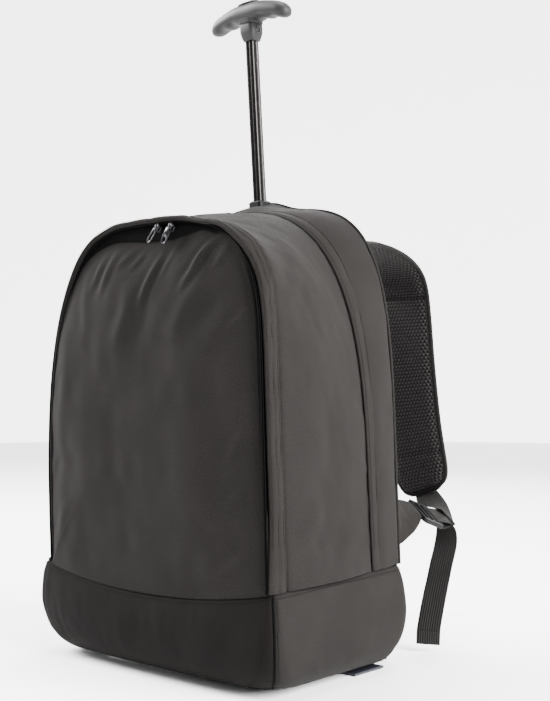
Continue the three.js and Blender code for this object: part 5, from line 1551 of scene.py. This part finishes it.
def buckle(hand):
    """Ladder buckle: bevelled frame with raised ribs on its bars."""
    node = NODES[f"buckle_{hand}"]
    node.data.materials[0] = PLASTIC
    add_bevel(node, 0.9, 3)
    ribs = []
    middle = buckle_centre() + STRAP_UP * (BUCKLE_THICK / 2)
    for k, place in enumerate((-0.5, -0.17, 0.17, 0.5)):
        centre = middle + STRAP_LINE * place * (BUCKLE_LENGTH - BUCKLE_BAR)
        path = flip(np.linspace(centre - STRAP_BAR * RIB_REACH, centre + STRAP_BAR * RIB_REACH, 14), hand)
        ribs.append(tube(f"rib_{k}", path, 1.3, PLASTIC, 10, side=flip(STRAP_LINE, hand), flat=0.45))
    settle(join(f"buckle_{hand}_ribs", *ribs))


def strap_webbing(hand):
    """Webbing down from the pad to a fold behind the buckle, then over and round its far bar."""
    last = pad_centres()[-1]
    run = unit(last - pad_centres()[-2])
    lift = STRAP_UP
    over = far_bar() + lift * (BUCKLE_THICK / 2 + WEB_THICK / 2 + 0.2)
    fold = over + STRAP_LINE * FOLD_REACH + lift * 2.0
    low = last + run * 6
    path = np.vstack([last - run, low, (low + fold) / 2 + [0, 2.5, 0], fold + lift * 1.6])
    flat = np.array([1.0, 0, 0])
    across = np.vstack([unit(flat * (1 - s) + STRAP_BAR * s) for s in (0, 0.2, 0.6, 1)])
    name = f"strap_webbing_{hand}_tape"
    hanging = solid_grid(name, flip(ribbon(path, across, [WEB_WIDTH] * 4, WEB_THICK, 50), hand), WEB)
    line = np.vstack([fold, (fold + over) / 2 + lift * 0.6, over, over - STRAP_LINE * 5 - lift * 1.2])
    grid = ribbon(line, np.repeat([STRAP_BAR], 4, 0), [WEB_WIDTH] * 4, WEB_THICK, 40)
    threaded = solid_grid("threaded", flip(grid, hand), WEB)
    edge = fold + STRAP_LINE * 0.4 + lift * 0.8
    ends = [edge - STRAP_BAR * WEB_WIDTH / 2, edge + STRAP_BAR * WEB_WIDTH / 2]
    roll = bar("roll", *flip(ends, hand), 1.9, WEB)
    settle(join(name, hanging, threaded, roll), stands_for=(f"strap_webbing_{hand}",))


def strap_tail(hand):
    """Free end of the webbing: round the buckle's far bar, then hanging to its hem."""
    lift = STRAP_UP
    start = far_bar() - lift * (BUCKLE_THICK / 2 + WEB_THICK / 2 + 0.7)
    fold = start + STRAP_LINE * (FOLD_REACH + 1) + [1, 3, -2]
    bend = far_bar() + STRAP_LINE * (FOLD_REACH + 1.8) + lift * 0.8
    hanging = [fold + np.array([out, back, -drop]) * TAIL_LENGTH for drop, back, out in TAIL_ROWS]
    path = np.vstack([start, (start + bend) / 2 - lift, bend] + hanging)
    facing = unit([0.95, 0.3, 0])
    ending = unit([0.80, 0.6, 0])
    across = np.vstack([unit(STRAP_BAR * (1 - w) + facing * w) for w in (0, 0, 0.25, 0.8, 1)]
                       + [unit(facing * (1 - w) + ending * w) for w in (0.3, 0.7, 1.0)])
    grid = ribbon(path, across, [WEB_WIDTH] * len(path), WEB_THICK, 80, 0.7, 0.5, 71)
    strap_piece(f"strap_tail_{hand}_tape", grid, hand, WEB, "webbing", f"strap_tail_{hand}")
    line = path[-2:] + (path[-1] - path[-2]) * [[0.15], [0.02]]
    hem = ribbon(line, across[-2:], [WEB_WIDTH] * 2, 2.6 * WEB_THICK, 12)
    strap_piece(f"strap_tail_{hand}_hem", hem, hand, WEB, "webbing")


def straps():
    for hand in SIGNS:
        strap_pad(hand)
        strap_wing(hand)
        buckle(hand)
        strap_webbing(hand)
        strap_tail(hand)


make_camera()
make_lights()
make_floor()
front_panel()
front_flap()
front_recess()
front_gusset()
main_zip()
rear_gusset()
back_panel()
base_band()
base_hardware()
pull_handle()
zip_metal()
straps()
